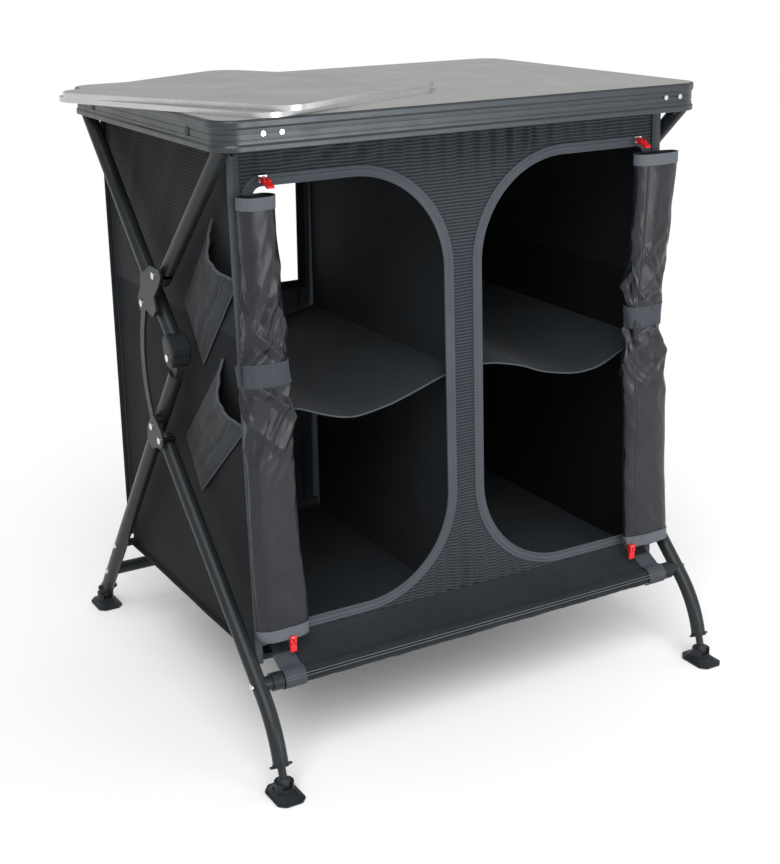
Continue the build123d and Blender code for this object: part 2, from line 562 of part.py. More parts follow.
# Side pockets on the left wall: pouches open at their upper front end
def pocket(p0, p1, depth):
    """Mouth from p0 (top) to p1 (front), running down and back."""
    m = unit(p0, p1)
    w = (-m[1], m[0])
    if w[1] > 0:
        w = (-w[0], -w[1])
    width = hypot(p1[0] - p0[0], p1[1] - p0[1])
    pl = Plane(origin=(-CAB_X - 0.4, p0[0], p0[1]), x_dir=(0, m[0], m[1]), z_dir=(-1, 0, 0))
    if (pl.y_dir - Vector(0, w[0], w[1])).length > 1.0:
        sgn = -1
    else:
        sgn = 1
    wp = Plane(origin=pl.origin, x_dir=(0, w[0], w[1]), z_dir=(0, m[0], m[1]))
    out_sign = 1 if wp.y_dir.X < 0 else -1
    o = poly([(0, 0), (0, out_sign * 17.0), (depth, out_sign * 2.6), (depth, 0)])
    i = poly([(-1, -out_sign * 1.0), (-1, out_sign * 15.6), (depth - 3.0, out_sign * 1.2), (depth - 3.0, -out_sign * 1.0)])
    shell = extrude(wp * o, amount=width) - extrude(wp.offset(1.4) * i, amount=width - 2.8)
    return shell.solids()[0]


save("side_pocket_upper", pocket((-140.0, 674.0), (-201.0, 612.0), 168.0))
save("side_pocket_lower", pocket((-153.0, 507.0), (-205.0, 434.0), 190.0))


# --------------------------------------------------------------- loose boards
def board(spec, z, edge):
    cx, cy, a = spec
    loc = Pos(cx, cy, z) * Rot(0, 0, a)
    full = RectangleRounded(BOARD_W, BOARD_L, BOARD_R)
    core = RectangleRounded(BOARD_W - 3.0, BOARD_L - 3.0, BOARD_R - 1.5)
    if edge:
        return extrude(loc * (full - core), amount=BOARD_T)
    return extrude(loc * core, amount=BOARD_T)


zl, zu2 = TOP_H + 0.1, TOP_H + 0.2 + BOARD_T
save("lower_board", board(BOARD_LOW, zl, False))
save("lower_board_edge", board(BOARD_LOW, zl, True))
save("upper_board", board(BOARD_UP, zu2, False))
save("upper_board_edge", board(BOARD_UP, zu2, True))
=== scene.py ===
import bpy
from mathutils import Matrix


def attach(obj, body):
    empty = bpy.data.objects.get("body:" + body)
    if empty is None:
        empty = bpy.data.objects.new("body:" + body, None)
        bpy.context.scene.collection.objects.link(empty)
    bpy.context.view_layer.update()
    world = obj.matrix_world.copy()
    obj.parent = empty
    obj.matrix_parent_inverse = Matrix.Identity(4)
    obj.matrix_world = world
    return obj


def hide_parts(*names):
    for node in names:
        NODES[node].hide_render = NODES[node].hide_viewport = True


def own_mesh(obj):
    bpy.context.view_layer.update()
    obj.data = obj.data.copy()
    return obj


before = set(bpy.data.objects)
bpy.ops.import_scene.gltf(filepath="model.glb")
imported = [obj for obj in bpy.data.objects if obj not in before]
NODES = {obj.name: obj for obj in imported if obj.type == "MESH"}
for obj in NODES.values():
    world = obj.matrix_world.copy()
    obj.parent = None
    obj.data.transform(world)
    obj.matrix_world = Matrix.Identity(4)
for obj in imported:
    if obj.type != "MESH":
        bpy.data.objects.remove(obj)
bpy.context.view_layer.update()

import math

import bpy
import numpy as np
from mathutils import Matrix, Vector

MM = 0.001

# --------------------------------------------------------------- numbers (mm)
FT, FB = -196.0, -214.0          # front panel, inner face, at z 783 and 128
BT, BB = 212.0, 227.0            # back wall, inner face
TOP, BOT = 783.0, 128.0
CAB_X = 308.0
DOOR = dict(x0=26.0, x1=286.0, z0=171.0, z1=720.0, r=128.0, ro=14.0)
FRONT_TUBE = (-257.0, 121.5)


def y_front(z):
    """Outer face of the front panel."""
    return FT + (FB - FT) * (TOP - z) / (TOP - BOT) - 2.0


def y_back(z):
    return BT + (BB - BT) * (TOP - z) / (TOP - 143.0) + 1.0


# ------------------------------------------------------------- small helpers
def ease(a, b, x):
    t = np.clip((np.asarray(x, float) - a) / (b - a), 0, 1)
    return t * t * (3 - 2 * t)


def bump_at(x, c, w):
    return np.exp(-((np.asarray(x, float) - c) / w) ** 2)


def hashed(i, j, seed):
    n = (i.astype(np.int64) * 374761393 + j.astype(np.int64) * 668265263 + seed * 974634777) & 0x7FFFFFFF
    n = ((n ^ (n >> 13)) * 1274126177) & 0x7FFFFFFF
    return ((n ^ (n >> 16)) & 0xFFFF) / 32767.5 - 1.0


def noise(x, y, seed=0):
    x, y = np.broadcast_arrays(np.asarray(x, float), np.asarray(y, float))
    xi, yi = np.floor(x), np.floor(y)
    fx, fy = x - xi, y - yi
    u, v = fx * fx * (3 - 2 * fx), fy * fy * (3 - 2 * fy)
    a, b = hashed(xi, yi, seed), hashed(xi + 1, yi, seed)
    c, d = hashed(xi, yi + 1, seed), hashed(xi + 1, yi + 1, seed)
    return (a * (1 - u) + b * u) * (1 - v) + (c * (1 - u) + d * u) * v


def fbm(x, y, seed=0, n=3):
    out, amp = 0.0, 1.0
    for k in range(n):
        out = out + amp * noise(np.asarray(x) * 2 ** k, np.asarray(y) * 2 ** k, seed + 17 * k)
        amp *= 0.5
    return out / 1.6


def crease(x, y, seed=0):
    """Sharp-edged folds, 0 to 1."""
    return 1 - np.abs(noise(x, y, seed)) * 1.6 - np.abs(noise(x * 2.1 + 5, y * 2.1, seed + 3)) * 0.5


def table(z, rows):
    """Smooth curve through (z, value) rows."""
    r = sorted(rows)
    zs, vs = np.array([q[0] for q in r], float), np.array([q[1] for q in r], float)
    m = np.gradient(vs, zs)
    z = np.clip(np.asarray(z, float), zs[0], zs[-1])
    k = np.clip(np.searchsorted(zs, z) - 1, 0, len(zs) - 2)
    h = zs[k + 1] - zs[k]
    t = (z - zs[k]) / h
    return ((2 * t ** 3 - 3 * t ** 2 + 1) * vs[k] + (t ** 3 - 2 * t ** 2 + t) * h * m[k]
            + (-2 * t ** 3 + 3 * t ** 2) * vs[k + 1] + (t ** 3 - t ** 2) * h * m[k + 1])


SOFT = []


def make(name, verts, faces, mat, body="worktop", soft=True, smooth=True, solid=0.0, stands_for=(), mats=None, face_mat=None):
    verts = np.asarray(verts, float).reshape(-1, 3) * MM
    faces = np.asarray(faces, int)
    me = bpy.data.meshes.new(name)
    me.from_pydata(verts.tolist(), [], faces.tolist())
    for m in (mats or [mat]):
        me.materials.append(m)
    if face_mat is not None:
        me.polygons.foreach_set("material_index", np.asarray(face_mat, np.int32))
    me.polygons.foreach_set("use_smooth", [smooth] * len(me.polygons))
    me.validate()
    me.update()
    o = bpy.data.objects.new(name, me)
    bpy.context.scene.collection.objects.link(o)
    if solid:
        s = o.modifiers.new("thickness", "SOLIDIFY")
        s.thickness, s.offset, s.use_rim = solid * MM, 0.0, True
    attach(o, body)
    if stands_for:
        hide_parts(*stands_for)
    if soft and body == "worktop":
        SOFT.append(o)
    return o


def quads(nu, nv, close_u=False, close_v=False):
    iu = np.arange(nu if close_u else nu - 1)
    iv = np.arange(nv if close_v else nv - 1)
    a, b = np.meshgrid(iu, iv, indexing="ij")
    a2, b2 = (a + 1) % nu, (b + 1) % nv
    f = np.stack([a * nv + b, a2 * nv + b, a2 * nv + b2, a * nv + b2], -1)
    return f.reshape(-1, 4)


def sheet(name, P, mat, keep=None, flip=False, close_u=False, close_v=False, **kw):
    """A grid of points P[u, v] as a skin; keep is a mask over its faces."""
    nu, nv = P.shape[:2]
    f = quads(nu, nv, close_u, close_v)
    if flip:
        f = f[:, ::-1]
    V = P.reshape(-1, 3)
    if keep is not None:
        f = f[keep.reshape(-1)]
        used = np.unique(f)
        back = np.zeros(len(V), int)
        back[used] = np.arange(len(used))
        V, f = V[used], back[f]
    return make(name, V, f, mat, **kw)


def sweep(name, path, profile, side, up, mat, close=False, closed_profile=False, **kw):
    """Profile points (a, b) carried along path; side and up are unit vectors per point."""
    path, side, up = (np.asarray(q, float) for q in (path, side, up))
    P = path[:, None] + side[:, None] * np.asarray(profile)[None, :, :1] + up[:, None] * np.asarray(profile)[None, :, 1:]
    return sheet(name, P, mat, close_u=close, close_v=closed_profile, **kw)


def tube_along(name, path, r, mat, n=10, wob=None, cap=True, **kw):
    path = np.asarray(path, float)
    d = np.gradient(path, axis=0)
    d /= np.linalg.norm(d, axis=1)[:, None]
    ref = np.array([0.0, 0.0, 1.0]) if abs(d[:, 2]).mean() < 0.8 else np.array([1.0, 0.0, 0.0])
    s = np.cross(d, ref)
    s /= np.linalg.norm(s, axis=1)[:, None]
    u = np.cross(s, d)
    th = np.linspace(0, 2 * np.pi, n, endpoint=False)
    rx, ry = (r, r) if np.isscalar(r) else r
    g = 1.0 if wob is None else wob[:, None, None]
    P = path[:, None] + (s[:, None] * np.cos(th)[None, :, None] * rx + u[:, None] * np.sin(th)[None, :, None] * ry) * g
    f = quads(len(path), n, False, True).tolist()
    if cap:
        f = f + [list(range(n))[::-1], [(len(path) - 1) * n + k for k in range(n)]]
    V = P.reshape(-1, 3) * MM
    me = bpy.data.meshes.new(name)
    me.from_pydata(V.tolist(), [], f)
    me.materials.append(mat)
    me.polygons.foreach_set("use_smooth", [len(p.vertices) == 4 for p in me.polygons])
    me.update()
    o = bpy.data.objects.new(name, me)
    bpy.context.scene.collection.objects.link(o)
    body = kw.get("body", "worktop")
    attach(o, body)
    if body == "worktop" and kw.get("soft", True):
        SOFT.append(o)
    return o


# ------------------------------------------------------------------ materials
class Mat:
    """A node material on the object's own coordinates, in metres."""

    def __init__(self, name, base, rough, metal=0.0, spec=0.5, sheen=0.0, coat=0.0, coat_rough=0.2):
        self.m = bpy.data.materials.new(name)
        self.m.use_nodes = True
        self.t = self.m.node_tree
        self.t.nodes.clear()
        self.out = self.t.nodes.new("ShaderNodeOutputMaterial")
        self.b = self.t.nodes.new("ShaderNodeBsdfPrincipled")
        self.t.links.new(self.b.outputs[0], self.out.inputs["Surface"])
        i = self.b.inputs
        i["Base Color"].default_value = (*base, 1)
        i["Roughness"].default_value = rough
        i["Metallic"].default_value = metal
        i["Specular IOR Level"].default_value = spec
        i["Sheen Weight"].default_value = sheen
        i["Sheen Roughness"].default_value = 0.4
        i["Coat Weight"].default_value = coat
        i["Coat Roughness"].default_value = coat_rough
        self.base = base
        self.co = self.t.nodes.new("ShaderNodeTexCoord").outputs["Object"]
        self.normal = None

    def node(self, kind, **sets):
        n = self.t.nodes.new(kind)
        for k, v in sets.items():
            if k in n.inputs:
                n.inputs[k].default_value = v
            else:
                setattr(n, k, v)
        return n

    def scaled(self, sx, sy, sz, rot=(0, 0, 0)):
        m = self.node("ShaderNodeMapping")
        m.inputs["Scale"].default_value = (sx, sy, sz)
        m.inputs["Rotation"].default_value = rot
        self.t.links.new(self.co, m.inputs["Vector"])
        return m.outputs[0]

    def noise(self, scale, detail=3.0, rough=0.5, vec=None):
        n = self.node("ShaderNodeTexNoise", Scale=scale, Detail=detail, Roughness=rough)
        self.t.links.new(vec if vec is not None else self.co, n.inputs["Vector"])
        return n.outputs[0]

    def math(self, op, a, b=None, clamp=False):
        n = self.node("ShaderNodeMath", operation=op, use_clamp=clamp)
        for k, v in enumerate([a, b]):
            if v is None:
                continue
            if isinstance(v, (int, float)):
                n.inputs[k].default_value = v
            else:
                self.t.links.new(v, n.inputs[k])
        return n.outputs[0]

    def axis(self, which):
        s = self.node("ShaderNodeSeparateXYZ")
        self.t.links.new(self.co, s.inputs[0])
        return s.outputs["XYZ".index(which)]

    def sine(self, value, period, phase=0.0):
        """0 to 1 along value (metres), once per period (metres)."""
        w = self.math("MULTIPLY", value, 2 * math.pi / period)
        w = self.math("ADD", w, phase)
        return self.math("MULTIPLY_ADD", self.math("SINE", w), 0.5) if False else self.math("ADD", self.math("MULTIPLY", self.math("SINE", w), 0.5), 0.5)

    def tint(self, factor, a, b, lo=0.0, hi=1.0):
        r = self.node("ShaderNodeMapRange")
        r.inputs["From Min"].default_value, r.inputs["From Max"].default_value = lo, hi
        self.t.links.new(factor, r.inputs["Value"])
        x = self.node("ShaderNodeMix", data_type="RGBA")
        self.t.links.new(r.outputs[0], x.inputs[0])
        x.inputs[6].default_value, x.inputs[7].default_value = (*a, 1), (*b, 1)
        self.t.links.new(x.outputs[2], self.b.inputs["Base Color"])
        return x

    def roughen(self, factor, a, b, lo=0.3, hi=0.7):
        r = self.node("ShaderNodeMapRange")
        r.inputs["From Min"].default_value, r.inputs["From Max"].default_value = lo, hi
        r.inputs["To Min"].default_value, r.inputs["To Max"].default_value = a, b
        self.t.links.new(factor, r.inputs["Value"])
        self.t.links.new(r.outputs[0], self.b.inputs["Roughness"])

    def bump(self, height, distance_mm, strength=1.0):
        b = self.node("ShaderNodeBump", Strength=strength, Distance=distance_mm * MM)
        self.t.links.new(height, b.inputs["Height"])
        if self.normal is not None:
            self.t.links.new(self.normal, b.inputs["Normal"])
        self.normal = b.outputs[0]
        self.t.links.new(self.normal, self.b.inputs["Normal"])


def weave(q, along, across, pitch, depth, light, dark, amount=1.0):
    """Crossing threads over two axes."""
    a, b = q.sine(q.axis(along), pitch), q.sine(q.axis(across), pitch, 1.3)
    w = q.math("MULTIPLY", a, b)
    q.bump(w, depth, amount)
    return w


def lin(*rgb):
    return tuple(((c / 255 + 0.055) / 1.055) ** 2.4 if c > 10 else c / 255 / 12.92 for c in rgb)


def mats():
    M = {}
    q = Mat("laminate", lin(146, 146, 144), 0.42, spec=0.3)
    f = q.noise(2600, 2, 0.6)
    q.tint(f, lin(137, 137, 135), lin(155, 155, 153), 0.35, 0.65)
    q.bump(q.noise(900, 3, 0.6), 0.05, 0.35)
    q.roughen(q.noise(18, 3), 0.36, 0.48)
    M["laminate"] = q.m

    q = Mat("rim_anodised", lin(68, 72, 75), 0.34, metal=0.75, spec=0.35)
    v = q.scaled(6, 6, 900)
    f = q.noise(3.0, 3, 0.6, v)
    q.tint(f, lin(62, 66, 69), lin(75, 79, 82), 0.3, 0.7)
    q.bump(f, 0.02, 0.35)
    q.roughen(q.noise(40, 4, 0.6), 0.30, 0.42)
    M["rim"] = q.m

    def coated(name, col, rough, metal, grain=1500, coat=0.0):
        q = Mat(name, col, rough, metal=metal, spec=0.22, coat=coat, coat_rough=0.3)
        f = q.noise(grain, 2, 0.55)
        q.bump(f, 0.05, 0.30)
        g = q.noise(30, 4, 0.6)
        q.tint(g, tuple(c * 0.9 for c in col), tuple(c * 1.1 for c in col), 0.3, 0.7)
        q.roughen(g, rough * 0.9, rough * 1.12)
        return q.m

    M["frame"] = coated("frame_coating", lin(42, 45, 47), 0.36, 0.3)
    M["bracket"] = coated("bracket_coating", lin(35, 38, 41), 0.38, 0.2)
    M["plastic"] = coated("moulded_plastic", lin(33, 36, 39), 0.44, 0.0, 900)
    M["foot"] = coated("moulded_foot", lin(32, 35, 38), 0.46, 0.0, 700)
    M["plug"] = coated("plug_plastic", lin(40, 42, 44), 0.5, 0.0, 900)
    q = Mat("bright_rivet", lin(215, 217, 220), 0.24, metal=1.0)
    q.bump(q.noise(700, 2), 0.03, 0.3)
    q.roughen(q.noise(300, 3), 0.2, 0.34)
    M["rivet"] = q.m
    q = Mat("pin_with_bright_head", lin(215, 217, 220), 0.3, metal=1.0)
    out = q.math("GREATER_THAN", q.math("ABSOLUTE", q.axis("X")), 0.3425)
    low_ = q.math("LESS_THAN", q.axis("Z"), 0.30)
    head = q.math("MAXIMUM", out, low_)
    q.tint(head, lin(40, 42, 44), lin(215, 217, 220))
    q.roughen(q.math("MULTIPLY_ADD", head, -0.3) if False else q.math("SUBTRACT", 1.0, head), 0.26, 0.5)
    q.bump(q.noise(700, 2), 0.03, 0.3)
    M["pin"] = q.m
    q = Mat("nickel_slider", lin(205, 205, 205), 0.25, metal=1.0)
    q.bump(q.noise(500, 2), 0.04, 0.3)
    q.roughen(q.noise(300, 3), 0.2, 0.36)
    M["slider"] = q.m
    q = Mat("red_pull", lin(214, 22, 30), 0.42, spec=0.45)
    q.bump(q.sine(q.axis("Z"), 0.0021), 0.25, 0.5)
    q.tint(q.noise(600, 2), lin(190, 14, 22), lin(226, 34, 42), 0.3, 0.7)
    M["pull"] = q.m

    q = Mat("board_sheet", lin(134, 135, 135), 0.32, spec=0.35, coat=0.08, coat_rough=0.25)
    f = q.noise(2200, 2, 0.6)
    q.tint(f, lin(127, 128, 128), lin(141, 142, 142), 0.35, 0.65)
    q.bump(q.noise(700, 3, 0.6), 0.04, 0.3)
    q.roughen(q.noise(14, 3), 0.28, 0.42)
    M["board"] = q.m
    q = Mat("board_edge_metal", lin(196, 197, 198), 0.3, metal=0.9)
    q.bump(q.noise(3, 3, 0.6, q.scaled(8, 8, 900)), 0.02, 0.3)
    q.roughen(q.noise(60, 3), 0.24, 0.38)
    M["board_edge"] = q.m

    def cloth(name, col, rough, sheen, pitch, depth, axes="XZ", tone=0.16, spec=0.12, grime_and_weave_shade=0.12):
        q = Mat(name, col, rough, spec=spec, sheen=sheen)
        a, b = q.sine(q.axis(axes[0]), pitch), q.sine(q.axis(axes[1]), pitch, 1.1)
        c = q.sine(q.axis("Y"), pitch, 0.6) if "Y" not in axes else None
        w = q.math("MULTIPLY", a, b)
        if c is not None:
            w = q.math("ADD", w, q.math("MULTIPLY", c, 0.35))
        big = q.noise(9, 4, 0.6)
        # Colour: the weave term w darkens the gaps between the raised threads, which is painted shade; the large noise
        # is random colour variation.
        f = q.math("ADD", q.math("MULTIPLY", w, tone), q.math("MULTIPLY", big, 1 - tone))
        q.tint(f, tuple(k * (1 - grime_and_weave_shade) for k in col), tuple(k * (1 + grime_and_weave_shade * 1.4) for k in col), 0.3, 0.75)
        q.bump(q.noise(160, 3, 0.55), 0.25, 0.25)
        q.bump(w, depth, 0.6)
        return q

    M["fabric"] = cloth("woven_charcoal", lin(34, 37, 41), 0.78, 0.06, 0.0012, 0.12).m
    M["inner"] = cloth("woven_inner", lin(42, 46, 50), 0.8, 0.04, 0.0012, 0.10).m
    # The back fabric is set lighter than the charcoal cloth so it throws more light into the shaded inside: painted
    # light.
    M["back"] = cloth("woven_back", lin(64, 69, 73), 0.78, 0.05, 0.0012, 0.10).m
    M["shelf"] = cloth("woven_shelf", lin(46, 50, 54), 0.62, 0.04, 0.0013, 0.12, "XY").m
    M["pocket"] = cloth("woven_pocket", lin(43, 46, 49), 0.6, 0.03, 0.0012, 0.12, "YZ", spec=0.16).m
    M["side"] = cloth("woven_side", lin(20, 22, 24), 0.74, 0.02, 0.0012, 0.12, "YZ").m
    M["tape"] = cloth("tape_grey", lin(72, 76, 82), 0.72, 0.08, 0.0016, 0.2, "XZ").m
    M["strap"] = cloth("strap_grey", lin(62, 66, 72), 0.7, 0.08, 0.0018, 0.25, "XZ").m
    M["hem"] = cloth("hem_grey", lin(88, 92, 98), 0.7, 0.08, 0.0016, 0.2, "XZ").m

    q = Mat("coated_roll", lin(30, 33, 37), 0.30, spec=0.36, sheen=0.0, coat=0.04, coat_rough=0.25)
    big = q.noise(26, 5, 0.62)
    q.tint(big, lin(20, 23, 27), lin(29, 32, 37), 0.3, 0.75)
    q.bump(q.noise(55, 5, 0.62), 1.3, 0.35)
    q.bump(q.math("MULTIPLY", q.sine(q.axis("X"), 0.0009), q.sine(q.axis("Z"), 0.0009)), 0.05, 0.4)
    q.roughen(big, 0.26, 0.40)
    M["roll"] = q.m

    def mesh_cloth(name, light, dark, axis="Z", other="X"):
        """Ribbed mesh: raised ribs with darker gaps between them and fine cross threads; the darker gaps are painted
        shade.
        """
        q = Mat(name, light, 0.75, spec=0.2, sheen=0.05)
        z = q.axis(axis)
        warp = q.math("MULTIPLY", q.noise(22, 2, 0.5), 0.004)
        zz = q.math("ADD", z, warp)
        rib = q.sine(zz, 0.0042)
        thread = q.sine(q.axis(other), 0.0021)
        drift = q.noise(240, 2, 0.6)
        f = q.math("ADD", q.math("MULTIPLY", rib, 0.72), q.math("MULTIPLY", q.math("MULTIPLY", thread, rib), 0.16))
        f = q.math("ADD", f, q.math("MULTIPLY", drift, 0.22))
        # Painted shade: dark colour in the gaps between the ribs, light colour on the rib tops; the drift noise is
        # random colour variation.
        q.tint(f, dark, light, 0.28, 0.92)
        q.bump(q.noise(90, 2), 0.3, 0.25)
        q.bump(f, 0.55, 0.75)
        return q.m

    # The second colour of each ribbed mesh is the painted shade in its rib gaps.
    M["mesh"] = mesh_cloth("ribbed_mesh", lin(60, 64, 70), lin(30, 33, 37))
    M["side_mesh"] = mesh_cloth("ribbed_mesh_side", lin(27, 30, 33), lin(16, 18, 20), "Z", "Y")
    return M


M = mats()

# ------------------------------------------------------- materials on the CAD
BY_NODE = {
    "worktop_panel": "laminate", "worktop_rim": "rim", "rim_rivets": "rivet", "rim_side_plugs": "plug",
    "arm_lugs": "bracket", "arm_pins": "rivet",
    "front_arm_left": "frame", "front_arm_right": "frame", "front_arm_end_plugs": "plastic",
    "rear_arm_left": "frame", "rear_arm_right": "frame", "crossing_brackets": "bracket", "elbow_housings": "plastic",
    "rear_arm_pins": "pin", "rear_leg_left": "frame", "rear_leg_right": "frame", "elbow_tongues": "plastic",
    "scissor_brackets": "bracket", "rear_leg_pins": "pin", "rear_leg_caps": "plastic", "rear_cross_tube": "frame",
    "rear_hem_rod": "frame", "front_leg_left": "frame", "front_leg_right": "frame", "front_leg_eyes": "plastic",
    "front_leg_caps": "plastic", "front_cross_tube": "frame", "front_leg_rivets": "rivet",
    "front_tube_collars": "plastic", "elbow_stays": "bracket",
    "foot_pad_front_left": "foot", "foot_pad_front_right": "foot", "foot_pad_rear_left": "foot", "foot_pad_rear_right": "foot",
    "upper_zip_sliders": "slider", "lower_zip_sliders": "slider",
    "upper_zip_pull_left": "pull", "upper_zip_pull_right": "pull", "lower_zip_pull_left": "pull", "lower_zip_pull_right": "pull",
    "lower_board": "board", "lower_board_edge": "board_edge", "upper_board": "board", "upper_board_edge": "board_edge",
}
for n, key in BY_NODE.items():
    me = NODES[n].data
    me.materials.clear()
    me.materials.append(M[key])

# -------------------------------------------------------------- front panel


def door_path(grow, sx, step=3.0):
    """Closed outline (x, z) of a door opening, grown outward, with outward normals."""
    x0, x1, z0, z1, r, ro = (DOOR[k] for k in ("x0", "x1", "z0", "z1", "r", "ro"))
    pts, nrm = [], []

    def line(a, b, n):
        k = max(2, int(math.hypot(b[0] - a[0], b[1] - a[1]) / step))
        for t in np.linspace(0, 1, k, endpoint=False):
            pts.append((a[0] + (b[0] - a[0]) * t, a[1] + (b[1] - a[1]) * t))
            nrm.append(n)

    def arc(c, rad, a0, a1):
        k = max(5, int(abs(a1 - a0) * rad / step))
        for t in np.linspace(a0, a1, k, endpoint=False):
            pts.append((c[0] + rad * math.cos(t), c[1] + rad * math.sin(t)))
            nrm.append((math.cos(t), math.sin(t)))

    h = math.pi / 2
    line((x1 - ro, z1), (x0 + r, z1), (0, 1))
    arc((x0 + r, z1 - r), r, h, 2 * h)
    line((x0, z1 - r), (x0, z0 + r), (-1, 0))
    arc((x0 + r, z0 + r), r, 2 * h, 3 * h)
    line((x0 + r, z0), (x1 - ro, z0), (0, -1))
    arc((x1 - ro, z0 + ro), ro, 3 * h, 4 * h)
    line((x1, z0 + ro), (x1, z1 - ro), (1, 0))
    arc((x1 - ro, z1 - ro), ro, 0, h)
    p, n = np.array(pts), np.array(nrm)
    p = p + n * grow
    p[:, 0] *= sx
    n = n.copy()
    n[:, 0] *= sx
    return p, n


def door_depth(x, z, grow):
    """Signed distance to the grown door outline, below 0 inside the opening."""
    ax = np.abs(x)
    x0, x1, z0, z1, r, ro = (DOOR[k] for k in ("x0", "x1", "z0", "z1", "r", "ro"))
    mid = (x0 + x1) / 2
    rad = np.where(ax < mid, r, ro)
    cx, cz = (x0 + x1) / 2, (z0 + z1) / 2
    qx = np.abs(ax - cx) - (x1 - x0) / 2 + rad
    qz = np.abs(z - cz) - (z1 - z0) / 2 + rad
    d = np.hypot(np.maximum(qx, 0), np.maximum(qz, 0)) + np.minimum(np.maximum(qx, qz), 0) - rad
    return d - grow


def gathers(x, z):
    """Outward movement of the front mesh."""
    lean = x + 0.16 * (TOP - z) * noise(x / 95.0, 0.3, 5)
    w = np.sin(2 * np.pi * lean / 23.0 + 2.2 * noise(x / 60.0, 1.7, 8)) + 0.5 * np.sin(2 * np.pi * lean / 12.5 + 1.0)
    strong = 0.55 + 0.45 * noise(x / 70.0, 4.4, 11)
    top = ease(655, 768, z) * (0.35 + 0.65 * bump_at(x, 75.0, 150.0))
    d = top * 3.8 * w * (0.5 + strong * 0.7)
    # slanting pulls over the left door
    s = (x + 240.0) * 0.62 + (z - 775.0) * -0.85
    d = d + 2.0 * ease(705, 755, z) * bump_at(x, -170.0, 80.0) * np.sin(2 * np.pi * s / 30.0 + noise(x / 40.0, z / 40.0, 2))
    # short puckers over the bottom seam, fanning out under the arches
    fan = x + (z - 150.0) * np.sign(x) * 0.55 * ease(20, 150, np.abs(x))
    p = np.sin(2 * np.pi * fan / 19.0 + 1.6 * noise(x / 45.0, 9.1, 21))
    low = ease(300, 158, z) * ease(300, 262, np.abs(x)) * (0.6 + 0.4 * noise(x / 35.0, 2.2, 31))
    d = d + 3.6 * low * np.sign(p) * np.abs(p) ** 0.8
    # broad slack
    d = d + 1.6 * fbm(x / 100.0, z / 150.0, 3)
    edge = ease(0.0, 16.0, door_depth(x, z, 11.0)) * 0.85 + 0.15
    return d * edge * ease(308, 296, np.abs(x))


def front_panel():
    xs, zs = np.arange(-307.0, 307.01, 2.0), np.arange(150.0, 783.01, 2.05)
    X, Z = np.meshgrid(xs, zs, indexing="ij")
    # pull the vertices by the openings on to the outline
    g = 2.0
    D = door_depth(X, Z, g)
    e = 0.05
    gx = (door_depth(X + e, Z, g) - door_depth(X - e, Z, g)) / (2 * e)
    gz = (door_depth(X, Z + e, g) - door_depth(X, Z - e, g)) / (2 * e)
    near = np.abs(D) < 1.35
    X, Z = np.where(near, X - D * gx, X), np.where(near, Z - D * gz, Z)
    inside = D < -1.35
    cell = ~(inside[:-1, :-1] | inside[1:, :-1] | inside[:-1, 1:] | inside[1:, 1:])
    Y = y_front(Z) + 0.7 - gathers(X, Z)
    P = np.stack([X, Y, Z], -1)
    o = sheet("front_mesh_panel", P, M["mesh"], keep=cell, stands_for=["cabinet_front_panel"])
    return o


panel = front_panel()

# double-track zip tape round each opening
prof = [(-1.6, -1.6), (-1.9, 0.2), (-1.5, 0.9), (-0.6, 1.15), (0.3, 0.8), (0.9, 0.35), (4.0, 0.4), (4.7, 0.5), (5.3, 1.2),
        (6.1, 1.65), (7.0, 1.2), (7.5, 0.5), (8.3, 0.45), (8.9, 1.0), (9.8, 1.25), (10.9, 1.1), (11.6, 0.6), (11.9, -0.5)]
for sx, nm in ((-1, "left"), (1, "right")):
    p, n = door_path(0.0, sx)
    wob = 0.35 * noise(np.arange(len(p)) / 9.0, 0.5, 40 + sx)
    path = np.stack([p[:, 0], y_front(p[:, 1]) - 0.15 + 0 * wob, p[:, 1]], -1)
    side = np.stack([n[:, 0], 0 * n[:, 0], n[:, 1]], -1)
    up = np.tile([0.0, -1.0, 0.0], (len(p), 1))
    t = sweep("zip_tape_" + nm, path, prof, side, up, M["tape"], close=True, stands_for=["door_zip_tapes"])

# ---------------------------------------------------------------- side walls


def side_wall(sx, name, node):
    ny, nz = 150, 190
    u, v = np.meshgrid(np.linspace(0, 1, ny), np.linspace(0, 1, nz), indexing="ij")
    Z = BOT + (TOP - BOT) * v
    yf, yb = FT + (FB - FT) * (TOP - Z) / (TOP - BOT) + 0.5, np.minimum(y_back(Z) - 1.5, 224.0)
    Y = yf + (yb - yf) * u
    d = 2.6 * fbm(Y / 150.0 + 3, Z / 210.0, 60 + sx, 2) + 1.0 * noise(Y / 45.0, Z / 120.0, 70 + sx)
    s = (Y - 30.0) * 0.80 + (Z - 660.0) * 0.60
    d = d + 1.8 * bump_at(s, 0.0, 20.0) * ease(430, 560, Z) * ease(790, 730, Z)
    s2 = (Y - 120.0) * 0.90 + (Z - 700.0) * 0.42
    d = d + 1.3 * bump_at(s2, 0.0, 14.0) * ease(560, 650, Z)
    s3 = (Y + 40.0) * 0.62 - (Z - 250.0) * 0.78
    d = d + 1.5 * bump_at(s3, 0.0, 26.0) * ease(450, 330, Z)
    edge = np.minimum.reduce([ease(0, 0.06, u), ease(1, 0.94, u), ease(0, 0.04, v), ease(1, 0.97, v)])
    low = -3.5 + 2.9 * bump_at(Z, 446.0, 45.0)
    X = sx * (CAB_X - 2.2 + np.clip(d, low, 1.6) * edge)
    P = np.stack([X, Y, Z], -1)
    f = quads(ny, nz)
    zc = Z.reshape(-1)[f].mean(1)
    return make(name, P, f if sx > 0 else f[:, ::-1], None, mats=[M["side_mesh"], M["side"]], face_mat=(zc < 540).astype(int), stands_for=[node])


